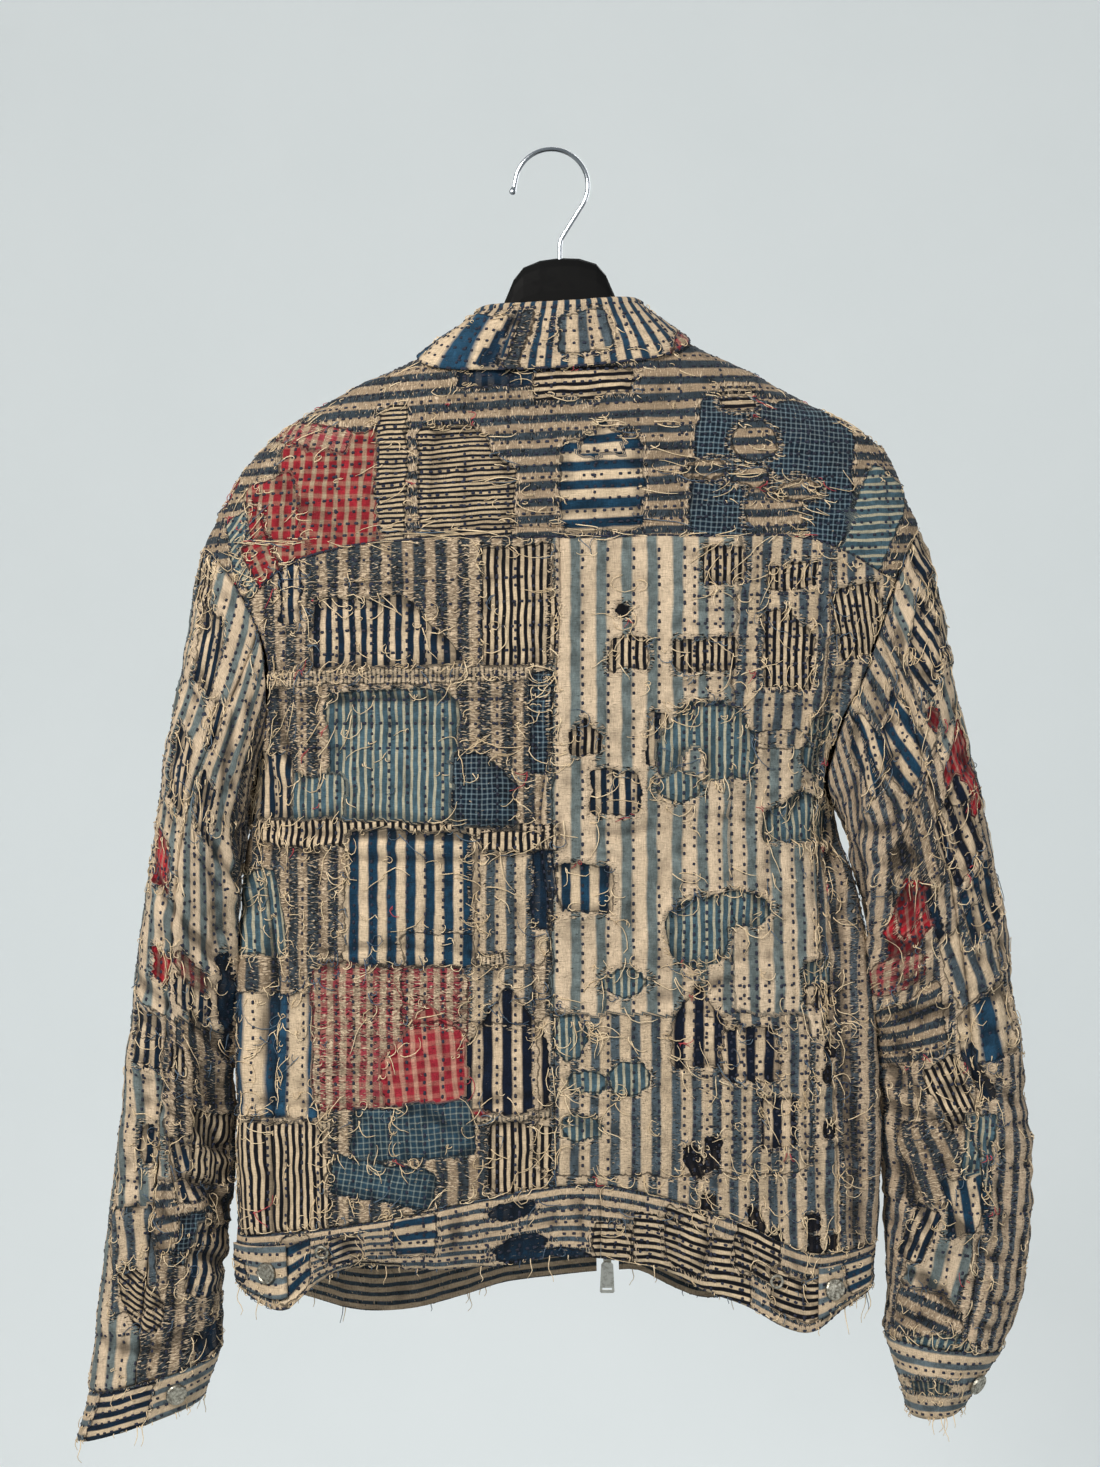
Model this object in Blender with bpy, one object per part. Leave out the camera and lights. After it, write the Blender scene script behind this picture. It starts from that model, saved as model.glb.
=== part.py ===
"""Patched boro jacket hanging, back to the viewer, on a wide-shouldered hanger.

Frame: +X to the viewer's right, -Y towards the viewer (the jacket's back), +Z up.
The origin is the inside top of the hanger hook's bend, where a rail or a link would
carry it. Every size below is in millimetres; the meshes are made in metres.

The torso is one closed tube of horizontal rings, opened up into the maker's panels.
A ring is read at an angle `u`: 0 is the centre back, 1 and -1 the two sides,
2 and -2 the centre front. Each sleeve is a second tube that starts on the armhole
curve of the torso. All cloth pieces are walls between a surface and its inward offset.
"""

import math
from collections import namedtuple

import bmesh
import bpy
import numpy as np

MM = 0.001

# ---------------------------------------------------------------- driving dimensions

CLOTH = 1.6             # wall of the patched cloth, several layers stitched together
BAND_CLOTH = 2.4        # wall of the waistband and the cuffs
COLLAR_CLOTH = 1.8      # wall of the collar
TAPE_CLOTH = 1.0        # wall of the zip tapes
SEAM_GAP = 0.4          # space between two pieces at a seam
LAY_GAP = 0.3           # space between a piece and what it lies on

SIDE_ROUNDING = 2.6     # power of the ring's curve: 2 is an ellipse, higher is squarer
TILT = 0.052            # the shoulders hang 3 degrees out of level
TILT_CENTRE = 5.0       # x about which they do
TILT_TOP = -260.0       # height above which the tilt is whole
TILT_END = -430.0       # height below which there is none

HOOK_WIRE = 3.2         # wire diameter of the hanger's hook
HOOK_BEND = 26.0        # radius of the hook's bend, at the wire's middle
HANGER_X = 6.0          # middle of the hanger
HANGER_TOP = -76.0      # top of the hanger's body
HANGER_CLEAR = 0.8      # space between the hanger's arm and the cloth on it
HANGER_SQUARE = 0.85    # power of the hanger's section: 1 is an ellipse, lower is squarer

BAND_OUT = 0.5          # how far the waistband stands proud of the panels
BAND_GAP = 0.5          # extra space above the waistband and the cuffs, which are thicker
BAND_JOIN = 34.0        # x of the join at the waistband's back
ARMHOLE_GAP = 1.3       # space between the torso and a sleeve, which meet at an angle
CUFF_GAP = 0.8          # space between a sleeve and its cuff
FRONT_EDGE = 8.6        # from the zip's middle to the edge of a front panel
TAPE_INNER = 0.8        # from the zip's middle to the edge of a tape
ZIP_END = -789.0        # height of the slider's mouth, where the tapes end

BUTTON_RADIUS = 7.6
BUTTON_HEIGHT = 3.0
STUD_RADIUS = 4.0
TAB_CLOTH = 2.2         # wall of the waistband's straps
TAB_ENDS = {-1: (-221.0, -183.0), 1: (185.0, 222.0)}
STUD_WIRE = 1.1

# How many rows and columns of points each cloth piece has.
BACK_COLUMNS = 10
BACK_ROWS = 6
SEAM_ROWS = 11
FRONT_COLUMNS = 9
FRONT_ROWS = 12
SIDE_COLUMNS = 7
YOKE_ROWS = 11
SLEEVE_COLUMNS = 12
SLEEVE_ROWS = 15

SIDES = {-1: "left", 1: "right"}

SEAM_START = {-1: -430.0, 1: -452.0}    # level at which a side seam leaves the armhole
SEAM_END = -620.0                       # level below which it runs straight down
SEAM_SHARE = 0.67                       # its ring angle there

# One row for each level of the torso: its height, the x of its two sides, and how
# deep the back and the front stand from the middle plane.
TorsoRow = namedtuple("TorsoRow", "z left right back front")
TORSO = [
    TorsoRow(-134, -72, 84, 45, 38),
    TorsoRow(-143, -92, 97, 48, 42),
    TorsoRow(-152, -113, 113, 51, 45),
    TorsoRow(-161, -136, 131, 53, 47),
    TorsoRow(-170, -155, 148, 55, 49),
    TorsoRow(-183, -178, 169, 57, 50),
    TorsoRow(-195, -197, 190, 58, 51),
    TorsoRow(-204, -207, 208, 59, 52),
    TorsoRow(-214, -216, 223, 60, 52),
    TorsoRow(-228, -225, 236, 60, 53),
    TorsoRow(-245, -234, 246, 61, 53),
    TorsoRow(-262, -242, 252, 61, 54),
    TorsoRow(-282, -250, 261, 62, 54),
    TorsoRow(-320, -246, 258, 62, 54),
    TorsoRow(-370, -231, 238, 62, 53),
    TorsoRow(-434, -210, 204, 60, 51),
    TorsoRow(-475, -211, 196, 59, 50),
    TorsoRow(-534, -215, 211, 59, 50),
    TorsoRow(-605, -220, 223, 60, 50),
    TorsoRow(-684, -224, 229, 61, 50),
    TorsoRow(-770, -224, 230, 61, 50),
    TorsoRow(-830, -220, 228, 58, 48),
]

# One row for each level of an armhole, from the shoulder down to the armpit. The first
# and last rows lie on the torso's side, so their x is the torso's own there.
ArmholeRow = namedtuple("ArmholeRow", "z x")
ARMHOLE = {
    -1: [
        ArmholeRow(-283, None),
        ArmholeRow(-296, -232),
        ArmholeRow(-318, -217),
        ArmholeRow(-348, -203),
        ArmholeRow(-374, -199),
        ArmholeRow(-404, -200),
        ArmholeRow(-424, -203),
        ArmholeRow(-436, None),
    ],
    1: [
        ArmholeRow(-268, None),
        ArmholeRow(-284, 252),
        ArmholeRow(-310, 241),
        ArmholeRow(-340, 231),
        ArmholeRow(-372, 220),
        ArmholeRow(-402, 206),
        ArmholeRow(-430, 197.5),
        ArmholeRow(-452, 194),
        ArmholeRow(-463, None),
    ],
}

# One row for each point of the yoke's lower seam.
YokeRow = namedtuple("YokeRow", "x z")
YOKE = [
    YokeRow(-216, -326),
    YokeRow(-190, -303),
    YokeRow(-146, -287),
    YokeRow(-104, -282),
    YokeRow(0, -280),
    YokeRow(102, -279),
    YokeRow(196, -285),
    YokeRow(226, -300),
    YokeRow(246, -313),
]

# One row for each point along the waistband's back: its top and lower edges, and how
# far the lower edge swings away from the viewer there.
BandRow = namedtuple("BandRow", "x top bottom swing")
BAND_BACK = [
    BandRow(-226, -768, -806, 0),
    BandRow(-209, -766, -812, -4),
    BandRow(-184, -762, -814, -9),
    BandRow(-168, -760, -801, 0),
    BandRow(-148, -757, -790, 10),
    BandRow(-105, -749, -788, 12),
    BandRow(-56, -738, -786, 9),
    BandRow(-22, -731, -781, 6),
    BandRow(3, -727, -777, 4),
    BandRow(34, -726, -778, 4),
    BandRow(75, -734, -786, 8),
    BandRow(108, -745, -802, 4),
    BandRow(137, -756, -812, -3),
    BandRow(160, -768, -824, -9),
    BandRow(182, -777, -829, -10),
    BandRow(205, -777, -817, -2),
    BandRow(229, -774, -806, 0),
]
# The same along the front, where only the lower edge shows.
BAND_FRONT = [
    BandRow(-224, -764, -808, 0),
    BandRow(-178, -780, -824, 0),
    BandRow(-146, -790, -834, 2),
    BandRow(-110, -791, -835, 4),
    BandRow(-64, -781, -825, 2),
    BandRow(-38, -773, -817, 0),
    BandRow(0, -768, -812, 0),
    BandRow(40, -764, -808, 0),
    BandRow(66, -764, -808, 0),
    BandRow(84, -773, -817, 2),
    BandRow(108, -782, -826, 4),
    BandRow(140, -779, -823, 2),
    BandRow(180, -766, -810, 0),
    BandRow(229, -760, -804, 0),
]

# One row for each ring of a sleeve: its outer and inner ends, and how deep it stands
# towards the back and the front.
SleeveRow = namedtuple("SleeveRow", "outer_x outer_z inner_x inner_z back front")
SLEEVE = {
    -1: [
        SleeveRow(-253, -320, -213, -456, 56, 50),
        SleeveRow(-262, -370, -215, -484, 58, 52),
        SleeveRow(-273, -434, -219, -520, 57, 52),
        SleeveRow(-284, -513, -224, -572, 54, 50),
        SleeveRow(-297, -613, -229, -650, 47, 47),
        SleeveRow(-309, -719, -230, -729, 42, 44),
        SleeveRow(-319, -798, -231, -793, 38, 40),
        SleeveRow(-327, -882, -235, -855, 34, 36),
    ],
    1: [
        SleeveRow(270, -300, 205, -478, 56, 50),
        SleeveRow(282, -360, 211, -500, 58, 52),
        SleeveRow(292, -409, 217, -522, 57, 52),
        SleeveRow(309, -484, 224, -560, 54, 50),
        SleeveRow(323, -563, 232, -610, 49, 48),
        SleeveRow(334, -655, 237, -664, 44, 46),
        SleeveRow(341, -727, 238, -724, 41, 43),
        SleeveRow(333, -812, 237, -794, 38, 40),
        SleeveRow(320, -852, 236, -842, 36, 38),
    ],
}
CUFF = {
    -1: SleeveRow(-336, -917, -247, -888, 32, 33),
    1: SleeveRow(291, -893, 253, -898, 32, 33),
}
SLEEVE_SEAM_BACK = 78.0     # degrees round from the outer end to the back seam
SLEEVE_SEAM_FRONT = -100.0  # and to the front seam

# One row for each large fold of a sleeve: the side, how far down the sleeve and how
# many degrees round its middle lies, its half length, half width, depth and slant.
FoldRow = namedtuple("FoldRow", "side down round length width depth slant")
SLEEVE_FOLDS = [
    FoldRow(-1, 0.66, 74, 0.22, 17, 9.0, 0),
    FoldRow(-1, 0.40, 110, 0.16, 15, 4.5, 40),
    FoldRow(-1, 0.86, 120, 0.08, 22, 4.0, -60),
    FoldRow(1, 0.26, 118, 0.14, 18, 5.0, 40),
    FoldRow(1, 0.44, 96, 0.14, 18, 4.5, 50),
    FoldRow(1, 0.72, 60, 0.20, 15, 5.0, -40),
    FoldRow(1, 0.90, 100, 0.07, 24, 5.0, 60),
]
# The same for the back of the torso, in millimetres.
DentRow = namedtuple("DentRow", "x z across down depth slant")
BACK_FOLDS = [
    DentRow(-205, -560, 14, 110, 4.5, 0.05),
    DentRow(206, -560, 13, 100, 5.0, -0.10),
    DentRow(-40, -420, 150, 12, 2.0, 0.0),
    DentRow(150, -330, 16, 60, 3.0, 0.45),
    DentRow(-150, -350, 16, 60, 3.0, -0.45),
    DentRow(165, -700, 18, 70, 3.5, -0.15),
]

# One row for each place round the collar, from the centre back to the centre front:
# how high the fold stands above the neck seam and leans out from it, how far below
# the seam the leaf's edge lies, and how far it stands off the cloth under it.
CollarRow = namedtuple("CollarRow", "round rise lean below off")
COLLAR = [
    CollarRow(0.00, 27, 1, 21, 3.2),
    CollarRow(0.20, 26, -6, 19, 3.2),
    CollarRow(0.34, 22, -16, 13, 3.3),
    CollarRow(0.43, 20, -22, 9, 3.4),
    CollarRow(0.50, 19, -24, 7, 3.6),
    CollarRow(0.58, 18.5, -22, 10, 3.6),
    CollarRow(0.70, 20, -12, 24, 3.4),
    CollarRow(0.85, 20, -2, 42, 3.6),
    CollarRow(1.00, 16, 3, 40, 3.6),
]
NECK_BACK = -142.0      # height of the neck seam at the centre back
NECK_SIDE = -134.5      # at the shoulders
NECK_FRONT = -196.0     # and at the centre front
COLLAR_FOLD = 3.4       # outer radius of the collar's fold

# One row for each section of the hanger's arm: distance from its middle, how far its
# top lies below the hanger's own, its height and its half depth. The arm's top
# follows the cloth from ARM_START on.
HangerRow = namedtuple("HangerRow", "out drop height depth")
HANGER = [
    HangerRow(0, 0.0, 70, 8.0),
    HangerRow(14, 1.2, 69, 8.0),
    HangerRow(26, 5.5, 65, 8.0),
    HangerRow(33, 14, 58, 8.2),
    HangerRow(41, 33, 42, 8.6),
    HangerRow(58, 52, 34, 9.2),
    HangerRow(75, 64, 32, 10.2),
    HangerRow(94, 75, 31, 11.5),
]
HANGER_ARM = [
    HangerRow(120, 0, 31, 14.0),
    HangerRow(150, 0, 33, 17.0),
    HangerRow(172, 0, 35, 20.0),
    HangerRow(186, 1.0, 34, 21.5),
    HangerRow(197, 4.5, 27, 20.0),
    HangerRow(202, 9.5, 16, 14.0),
]

# Colour, metallic and roughness of each finish.
FINISHES = {
    "boro": ((0.42, 0.36, 0.28), 0.0, 0.9),
    "boro_pale": ((0.52, 0.44, 0.34), 0.0, 0.9),
    "boro_blue": ((0.20, 0.27, 0.34), 0.0, 0.9),
    "hanger_black": ((0.010, 0.010, 0.011), 0.0, 0.5),
    "chrome": ((0.62, 0.63, 0.64), 1.0, 0.12),
    "button_metal": ((0.42, 0.40, 0.36), 1.0, 0.3),
    "tape": ((0.02, 0.02, 0.025), 0.0, 0.9),
}


# ---------------------------------------------------------------- curves and surfaces

def column(table, name):
    """One named column of a table, as numbers."""
    return np.array([getattr(row, name) for row in table], float)


def smooth(at, keys, values):
    """A smooth curve through the table's values, read at `at`."""
    at = np.asarray(at, float)
    if keys[0] > keys[-1]:
        keys, values = keys[::-1], values[::-1]
    slopes = np.gradient(values, keys)
    place = np.clip(at, keys[0], keys[-1])
    cell = np.clip(np.searchsorted(keys, place) - 1, 0, len(keys) - 2)
    width = keys[cell + 1] - keys[cell]
    t = (place - keys[cell]) / width
    start = values[cell] * (1 + 2 * t) * (1 - t) ** 2 + slopes[cell] * width * t * (1 - t) ** 2
    end = values[cell + 1] * t * t * (3 - 2 * t) - slopes[cell + 1] * width * t * t * (1 - t)
    return start + end


def read(table, key, name, at):
    """The table's column `name`, read smoothly along its column `key`."""
    return smooth(at, column(table, key), column(table, name))


def fade(value, start, end):
    """0 at `start`, 1 at `end`, and smooth between."""
    t = np.clip((value - start) / (end - start), 0, 1)
    return t * t * (3 - 2 * t)


def tilted(points, level):
    """Points of the shoulders, turned by the hang of the hanger."""
    share = fade(level, TILT_END, TILT_TOP)
    points[..., 2] += TILT * share * (points[..., 0] - TILT_CENTRE)
    return points


def untilted(x, z):
    """The level that ends up at height z, at this x."""
    level = z
    for _ in range(8):
        level = z - TILT * fade(level, TILT_END, TILT_TOP) * (x - TILT_CENTRE)
    return level


def torso(u, level):
    """Points of the torso at ring angle `u` on the ring at height `level`."""
    u, level = np.broadcast_arrays(np.asarray(u, float), np.asarray(level, float))
    left = read(TORSO, "z", "left", level)
    right = read(TORSO, "z", "right", level)
    across = np.sin(u * math.pi / 2)
    x = (left + right) / 2 + (right - left) / 2 * across
    inward = (1 - np.abs(across) ** SIDE_ROUNDING).clip(0) ** (1 / SIDE_ROUNDING)
    behind = np.cos(u * math.pi / 2) < 0
    back = read(TORSO, "z", "back", level)
    front = read(TORSO, "z", "front", level)
    y = np.where(behind, front, -back) * inward
    dent = np.zeros_like(x)
    for fold in BACK_FOLDS:
        aside = x - fold.x - fold.slant * (level - fold.z)
        dent += fold.depth * np.exp(-(aside / fold.across) ** 2 - ((level - fold.z) / fold.down) ** 2)
    y = y + np.where(behind, 0, dent * inward)
    return tilted(np.stack([x, y, level + 0 * x], axis=-1), level)


def ring_angle(x, level, side, front=False):
    """The ring angle at which the torso has this x, on this side's back or front."""
    left = read(TORSO, "z", "left", level)
    right = read(TORSO, "z", "right", level)
    across = np.clip((x - (left + right) / 2) / ((right - left) / 2), -1, 1)
    turn = np.arcsin(across) * 2 / math.pi
    return 2 * side - turn if front else turn


def armhole_curve(side, front):
    """(angles, levels) of an armhole's back or front edge, from shoulder to armpit."""
    rows = ARMHOLE[side]
    heights = np.linspace(rows[0].z, rows[-1].z, 61)
    known = [(row.z, row.x) for row in rows if row.x is not None]
    edge = "right" if side > 0 else "left"
    ends = []
    for row in (rows[0], rows[-1]):
        level = float(row.z)
        for _ in range(8):
            level = untilted(read(TORSO, "z", edge, level), row.z)
        ends.append((row.z, float(read(TORSO, "z", edge, level))))
    table = [ends[0], *known, ends[1]]
    x = smooth(heights, np.array([z for z, _ in table], float), np.array([x for _, x in table]))
    levels = untilted(x, heights)
    angles = ring_angle(x, levels, side, front)
    angles[0] = angles[-1] = side
    return angles, levels


ARMHOLE_CURVES = {(side, front): armhole_curve(side, front) for side in (-1, 1) for front in (False, True)}


def side_seam(side, front, level):
    """Ring angle of the seam between a side panel and the back or the front.

    It leaves the armhole at SEAM_START and drifts towards the centre below it."""
    angles, levels = ARMHOLE_CURVES[side, False]
    begin = abs(np.interp(SEAM_START[side], levels[::-1], angles[::-1]))
    share = begin + (SEAM_SHARE - begin) * fade(level, SEAM_START[side], SEAM_END)
    return side * (2 - share) if front else side * share


def panel_side(side, front, level):
    """Ring angle of a panel's outer edge: the shoulder ridge, the armhole, the side seam."""
    angles, levels = ARMHOLE_CURVES[side, front]
    hole = np.interp(level, levels[::-1], angles[::-1])
    reach = np.where(level < levels[0], hole, side)
    return np.where(level <= SEAM_START[side], side_seam(side, front, level), reach)


def yoke_seam(u):
    """Level of the yoke's lower seam at ring angle u."""
    level = np.full_like(np.asarray(u, float), -284.0)
    for _ in range(12):
        x = torso(u, level)[..., 0]
        level = untilted(x, read(YOKE, "x", "z", x))
    return level


def neck_seam(u):
    """Level of the neck seam at ring angle u."""
    turn = np.abs(np.asarray(u, float))
    back = NECK_BACK + (NECK_SIDE - NECK_BACK) * fade(turn, 0, 1)
    return np.where(turn <= 1, back, NECK_SIDE + (NECK_FRONT - NECK_SIDE) * fade(turn, 1, 2.1))


def band_edge(u, name):
    """Level of an edge of the waistband, or its swing, at ring angle u."""
    u = np.asarray(u, float)
    level = np.full_like(u, -790.0)
    x = torso(u, level)[..., 0]
    behind = np.cos(u * math.pi / 2) < 0
    return np.where(behind, read(BAND_FRONT, "x", name, x), read(BAND_BACK, "x", name, x))


def band(u, down):
    """Points of the waistband: `down` is 0 at its top edge and 1 at its lower one."""
    top, bottom = band_edge(u, "top") - BAND_GAP, band_edge(u, "bottom")
    points = torso(u, top + (bottom - top) * down)
    outward = np.sign(points[..., 1])
    swing = band_edge(u, "swing") * down ** 2
    behind = np.cos(np.asarray(u) * math.pi / 2) < 0
    points[..., 1] += np.where(behind, -swing, swing) * np.minimum(1, np.abs(points[..., 1]) / 40)
    points[..., 1] += BAND_OUT * outward
    points[..., 0] += BAND_OUT * np.sin(np.asarray(u) * math.pi / 2)
    return points


def zip_line(level):
    """x of the zip's middle, which swings to the right as the front hangs."""
    return 8 + 33 * fade(level, NECK_FRONT, -760)


def front_edge(side, out, level):
    """Ring angle of the front at `out` from the zip's middle."""
    return ring_angle(zip_line(level) + side * out, level, side, front=True)


def ring_points(row, turn):
    """Points of a sleeve's ring, from its four sizes and the degrees round it."""
    angle = np.radians(turn)
    spread, deep = np.cos(angle), np.sin(angle)
    x = (row["outer_x"] + row["inner_x"]) / 2 + (row["outer_x"] - row["inner_x"]) / 2 * spread
    z = (row["outer_z"] + row["inner_z"]) / 2 + (row["outer_z"] - row["inner_z"]) / 2 * spread
    y = np.where(deep >= 0, -row["back"], row["front"]) * np.abs(deep) ** 0.85
    return np.stack([x, y, z], axis=-1)


def sleeve(side, turn, down):
    """Points of a sleeve: `turn` degrees round from its outer end, `down` 0 to 1."""
    turn, down = np.broadcast_arrays(np.asarray(turn, float), np.asarray(down, float))
    start = sleeve_start_row(side)
    keys = np.concatenate([[0.0], sleeve_stations(side)])
    row = {name: smooth(down, keys, np.concatenate([[start[name]], column(SLEEVE[side], name)]))
           for name in SleeveRow._fields}
    # Near the armhole the ring turns into the armhole's own curve.
    shift = armhole_ring(side, turn) - ring_points(start, turn)
    points = ring_points(row, turn) + shift * (1 - fade(down, 0.0, 0.24))[..., None]
    dent = np.zeros_like(turn)
    for fold in SLEEVE_FOLDS:
        if fold.side != side:
            continue
        aside = (turn - fold.round - fold.slant * (down - fold.down) / fold.length * 0.5) / fold.width
        dent += fold.depth * np.exp(-(aside ** 2) - ((down - fold.down) / fold.length) ** 2)
    dent = dent * fade(down, 0.02, 0.14) * fade(down, 1.0, 0.93)
    points[..., 0] -= dent * np.cos(np.radians(turn)) * side
    points[..., 1] += dent * np.sin(np.radians(turn))
    return points


def sleeve_stations(side):
    """How far down the sleeve each row of its table lies, 0 to 1."""
    rows = SLEEVE[side]
    middle = [(armhole_ring(side, 0.0) + armhole_ring(side, 180.0)) / 2]
    middle += [np.array([(r.outer_x + r.inner_x) / 2, 0, (r.outer_z + r.inner_z) / 2]) for r in rows]
    steps = [np.linalg.norm(after - before) for before, after in zip(middle, middle[1:])]
    return np.cumsum(steps) / sum(steps)


def sleeve_start_row(side):
    """The sizes of a sleeve's ring where it starts, at the armhole."""
    outer, inner = armhole_ring(side, 0.0), armhole_ring(side, 180.0)
    return {"outer_x": outer[0], "outer_z": outer[2], "inner_x": inner[0], "inner_z": inner[2],
            "back": SLEEVE[side][0].back, "front": SLEEVE[side][0].front}


def armhole_ring(side, turn):
    """Point of the armhole at `turn` degrees: 0 at the shoulder, 180 at the armpit."""
    turn = np.asarray(turn, float)
    wrapped = np.abs((turn + 180) % 360 - 180)
    fraction = (1 - np.cos(np.radians(wrapped))) / 2
    at_back = ((turn + 180) % 360 - 180) >= 0
    result = []
    for front in (False, True):
        angles, levels = ARMHOLE_CURVES[side, front]
        steps = np.linspace(0, 1, len(levels))
        result.append(torso(np.interp(fraction, steps, angles), np.interp(fraction, steps, levels)))
    return np.where(at_back[..., None], result[0], result[1])


def collar(round_, along):
    """Points of the collar: `round_` from -1 to 1 round the neck, `along` 0 at the
    neck seam, up over the fold and down to 1 at the leaf's edge."""
    round_, along = np.broadcast_arrays(np.asarray(round_, float), np.asarray(along, float))
    place = np.abs(round_)
    reach = 2 * round_ - 0.07 * np.sign(round_) * fade(place, 0.8, 1.0)
    level = neck_seam(reach)
    seam = torso(reach, level)
    seam[..., 2] += SEAM_GAP + 0.2
    centre = np.array([HANGER_X, 0, 0])
    out = (seam - centre) * np.array([1, 1, 0])
    out = out / np.linalg.norm(out, axis=-1, keepdims=True)
    up = np.array([0.0, 0.0, 1.0])
    parts = {name: read(COLLAR, "round", name, place)[..., None] for name in CollarRow._fields}
    stand_end, fold_end = 0.30, 0.42
    radius = COLLAR_FOLD
    base = seam - out * COLLAR_CLOTH * 0.4
    inner_top = base + out * (parts["lean"] - radius) + up * (parts["rise"] - radius)
    outer_top = inner_top + out * radius * 2
    under = level - parts["below"][..., 0]
    edge = torso(reach, under)
    away = normals_of(torso, reach, under, 1e-3, 0.1)
    edge = edge + away * parts["off"]
    t = along[..., None]
    stand = base + (inner_top - base) * np.clip(t / stand_end, 0, 1)
    sweep = math.pi * (1 - np.clip((t - stand_end) / (fold_end - stand_end), 0, 1))
    bend = inner_top + out * radius + out * radius * np.cos(sweep) + up * radius * np.sin(sweep)
    share = np.clip((t - fold_end) / (1 - fold_end), 0, 1)
    leaf = outer_top + (edge - outer_top) * share + out * 1.2 * np.sin(math.pi * share)
    return np.where(t < stand_end, stand, np.where(t < fold_end, bend, leaf))


# ---------------------------------------------------------------- meshes

def normals_of(surface, first, second, step_first, step_second):
    """Unit normals of a surface where it is read at `first`, `second`."""
    along = surface(first + step_first, second) - surface(first - step_first, second)
    down = surface(first, second + step_second) - surface(first, second - step_second)
    normal = np.cross(along, down)
    return normal / np.linalg.norm(normal, axis=-1, keepdims=True).clip(1e-9)


def pull_in(points, gap):
    """How far each border point moves into the piece, to leave half a seam's gap."""
    shift = np.zeros_like(points)
    for axis, edge, inside in ((0, 0, 1), (0, -1, -2), (1, 0, 1), (1, -1, -2)):
        border = np.take(points, edge, axis)
        way = np.take(points, inside, axis) - border
        way = way / np.linalg.norm(way, axis=-1, keepdims=True).clip(1e-9) * gap
        if axis == 0:
            shift[edge] += way
        else:
            shift[:, edge] += way
    return shift


def wall_faces(rows, columns):
    """Faces of a wall whose outer points come first, then its inner ones."""
    count = rows * columns
    faces = []
    for r in range(rows - 1):
        for c in range(columns - 1):
            a, b = r * columns + c, r * columns + c + 1
            d, e = a + columns, b + columns
            faces.append((a, b, e, d))
            faces.append((a + count, d + count, e + count, b + count))
    top = list(range(columns))
    right = [r * columns + columns - 1 for r in range(rows)]
    bottom = [(rows - 1) * columns + c for c in range(columns)][::-1]
    left = [r * columns for r in range(rows)][::-1]
    for edge in (top, right, bottom, left):
        for a, b in zip(edge, edge[1:]):
            faces.append((a, a + count, b + count, b))
    return faces


def make_object(name, points, faces, material, smooth_angle=40):
    """A mesh object of these points, in millimetres, with its faces turned outwards."""
    mesh = bpy.data.meshes.new(name)
    mesh.from_pydata([tuple(p) for p in np.asarray(points) * MM], [], faces)
    mesh.materials.append(MATERIALS[material])
    shell = bmesh.new()
    shell.from_mesh(mesh)
    bmesh.ops.recalc_face_normals(shell, faces=shell.faces)
    shell.to_mesh(mesh)
    shell.free()
    mesh.shade_smooth()
    mesh.set_sharp_from_angle(angle=math.radians(smooth_angle))
    made = bpy.data.objects.new(name, mesh)
    bpy.context.scene.collection.objects.link(made)
    return made


def wall(name, surface, first, second, thickness, material, inward=1, steps=(1e-3, 0.1)):
    """A cloth wall: the surface read on the grid `first`, `second`, and its offset."""
    outer = surface(first, second)
    normal = normals_of(surface, first, second, *steps) * inward
    shift = pull_in(outer, SEAM_GAP / 2)
    outer = outer + shift
    points = np.concatenate([outer.reshape(-1, 3), (outer + normal * thickness).reshape(-1, 3)])
    return make_object(name, points, wall_faces(*outer.shape[:2]), material)


def region(left, right, top, bottom, columns, rows_left, rows_right=None):
    """Grid of (u, level) that fills the space between four edges.

    left and right give u at a level, top and bottom give the level at u. The rows are
    the shares of the height, 0 to 1, at which they lie on the left and right edges."""
    s = np.linspace(0, 1, columns)[None, :]
    first = np.asarray(rows_left)[:, None]
    t = first if rows_right is None else first * (1 - s) + np.asarray(rows_right)[:, None] * s
    level = np.full((len(first), columns), -400.0)
    u = left(level) + (right(level) - left(level)) * s
    for _ in range(60):
        level = 0.5 * level + 0.5 * (top(u) + (bottom(u) - top(u)) * t)
        u = left(level) + (right(level) - left(level)) * s
    return u, level


# ---------------------------------------------------------------- cloth pieces

def band_top(u):
    """Level of the seam between the panels and the waistband."""
    return band_edge(u, "top")


def centre_back(level):
    """Ring angle of the seam between the two halves of the back."""
    return np.zeros_like(level)


def yoke_grid():
    """The yoke runs over the shoulders from armhole to armhole."""
    rows = np.linspace(0, 1, YOKE_ROWS) ** 1.15
    halves = [
        region(lambda z: panel_side(-1, False, z), centre_back, neck_seam, yoke_seam, BACK_COLUMNS, rows),
        region(centre_back, lambda z: panel_side(1, False, z), neck_seam, yoke_seam, BACK_COLUMNS, rows),
    ]
    return [np.concatenate([left, right[:, 1:]], axis=1) for left, right in zip(*halves)]


def panel_rows(side, front, top, above):
    """Row shares of a panel down its outer edge, with one row where the side seam
    leaves the armhole. The rows lie closer at the top."""
    def outer(z):
        return panel_side(side, front, z)

    high = low = np.full((1, 1), -400.0)
    for _ in range(60):
        high = 0.5 * high + 0.5 * top(outer(high))
        low = 0.5 * low + 0.5 * band_top(outer(low))
    corner = float(((SEAM_START[side] - high) / (low - high))[0, 0])
    return np.concatenate([corner * np.linspace(0, 1, above) ** 1.4, np.linspace(corner, 1, SEAM_ROWS)[1:]])


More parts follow.
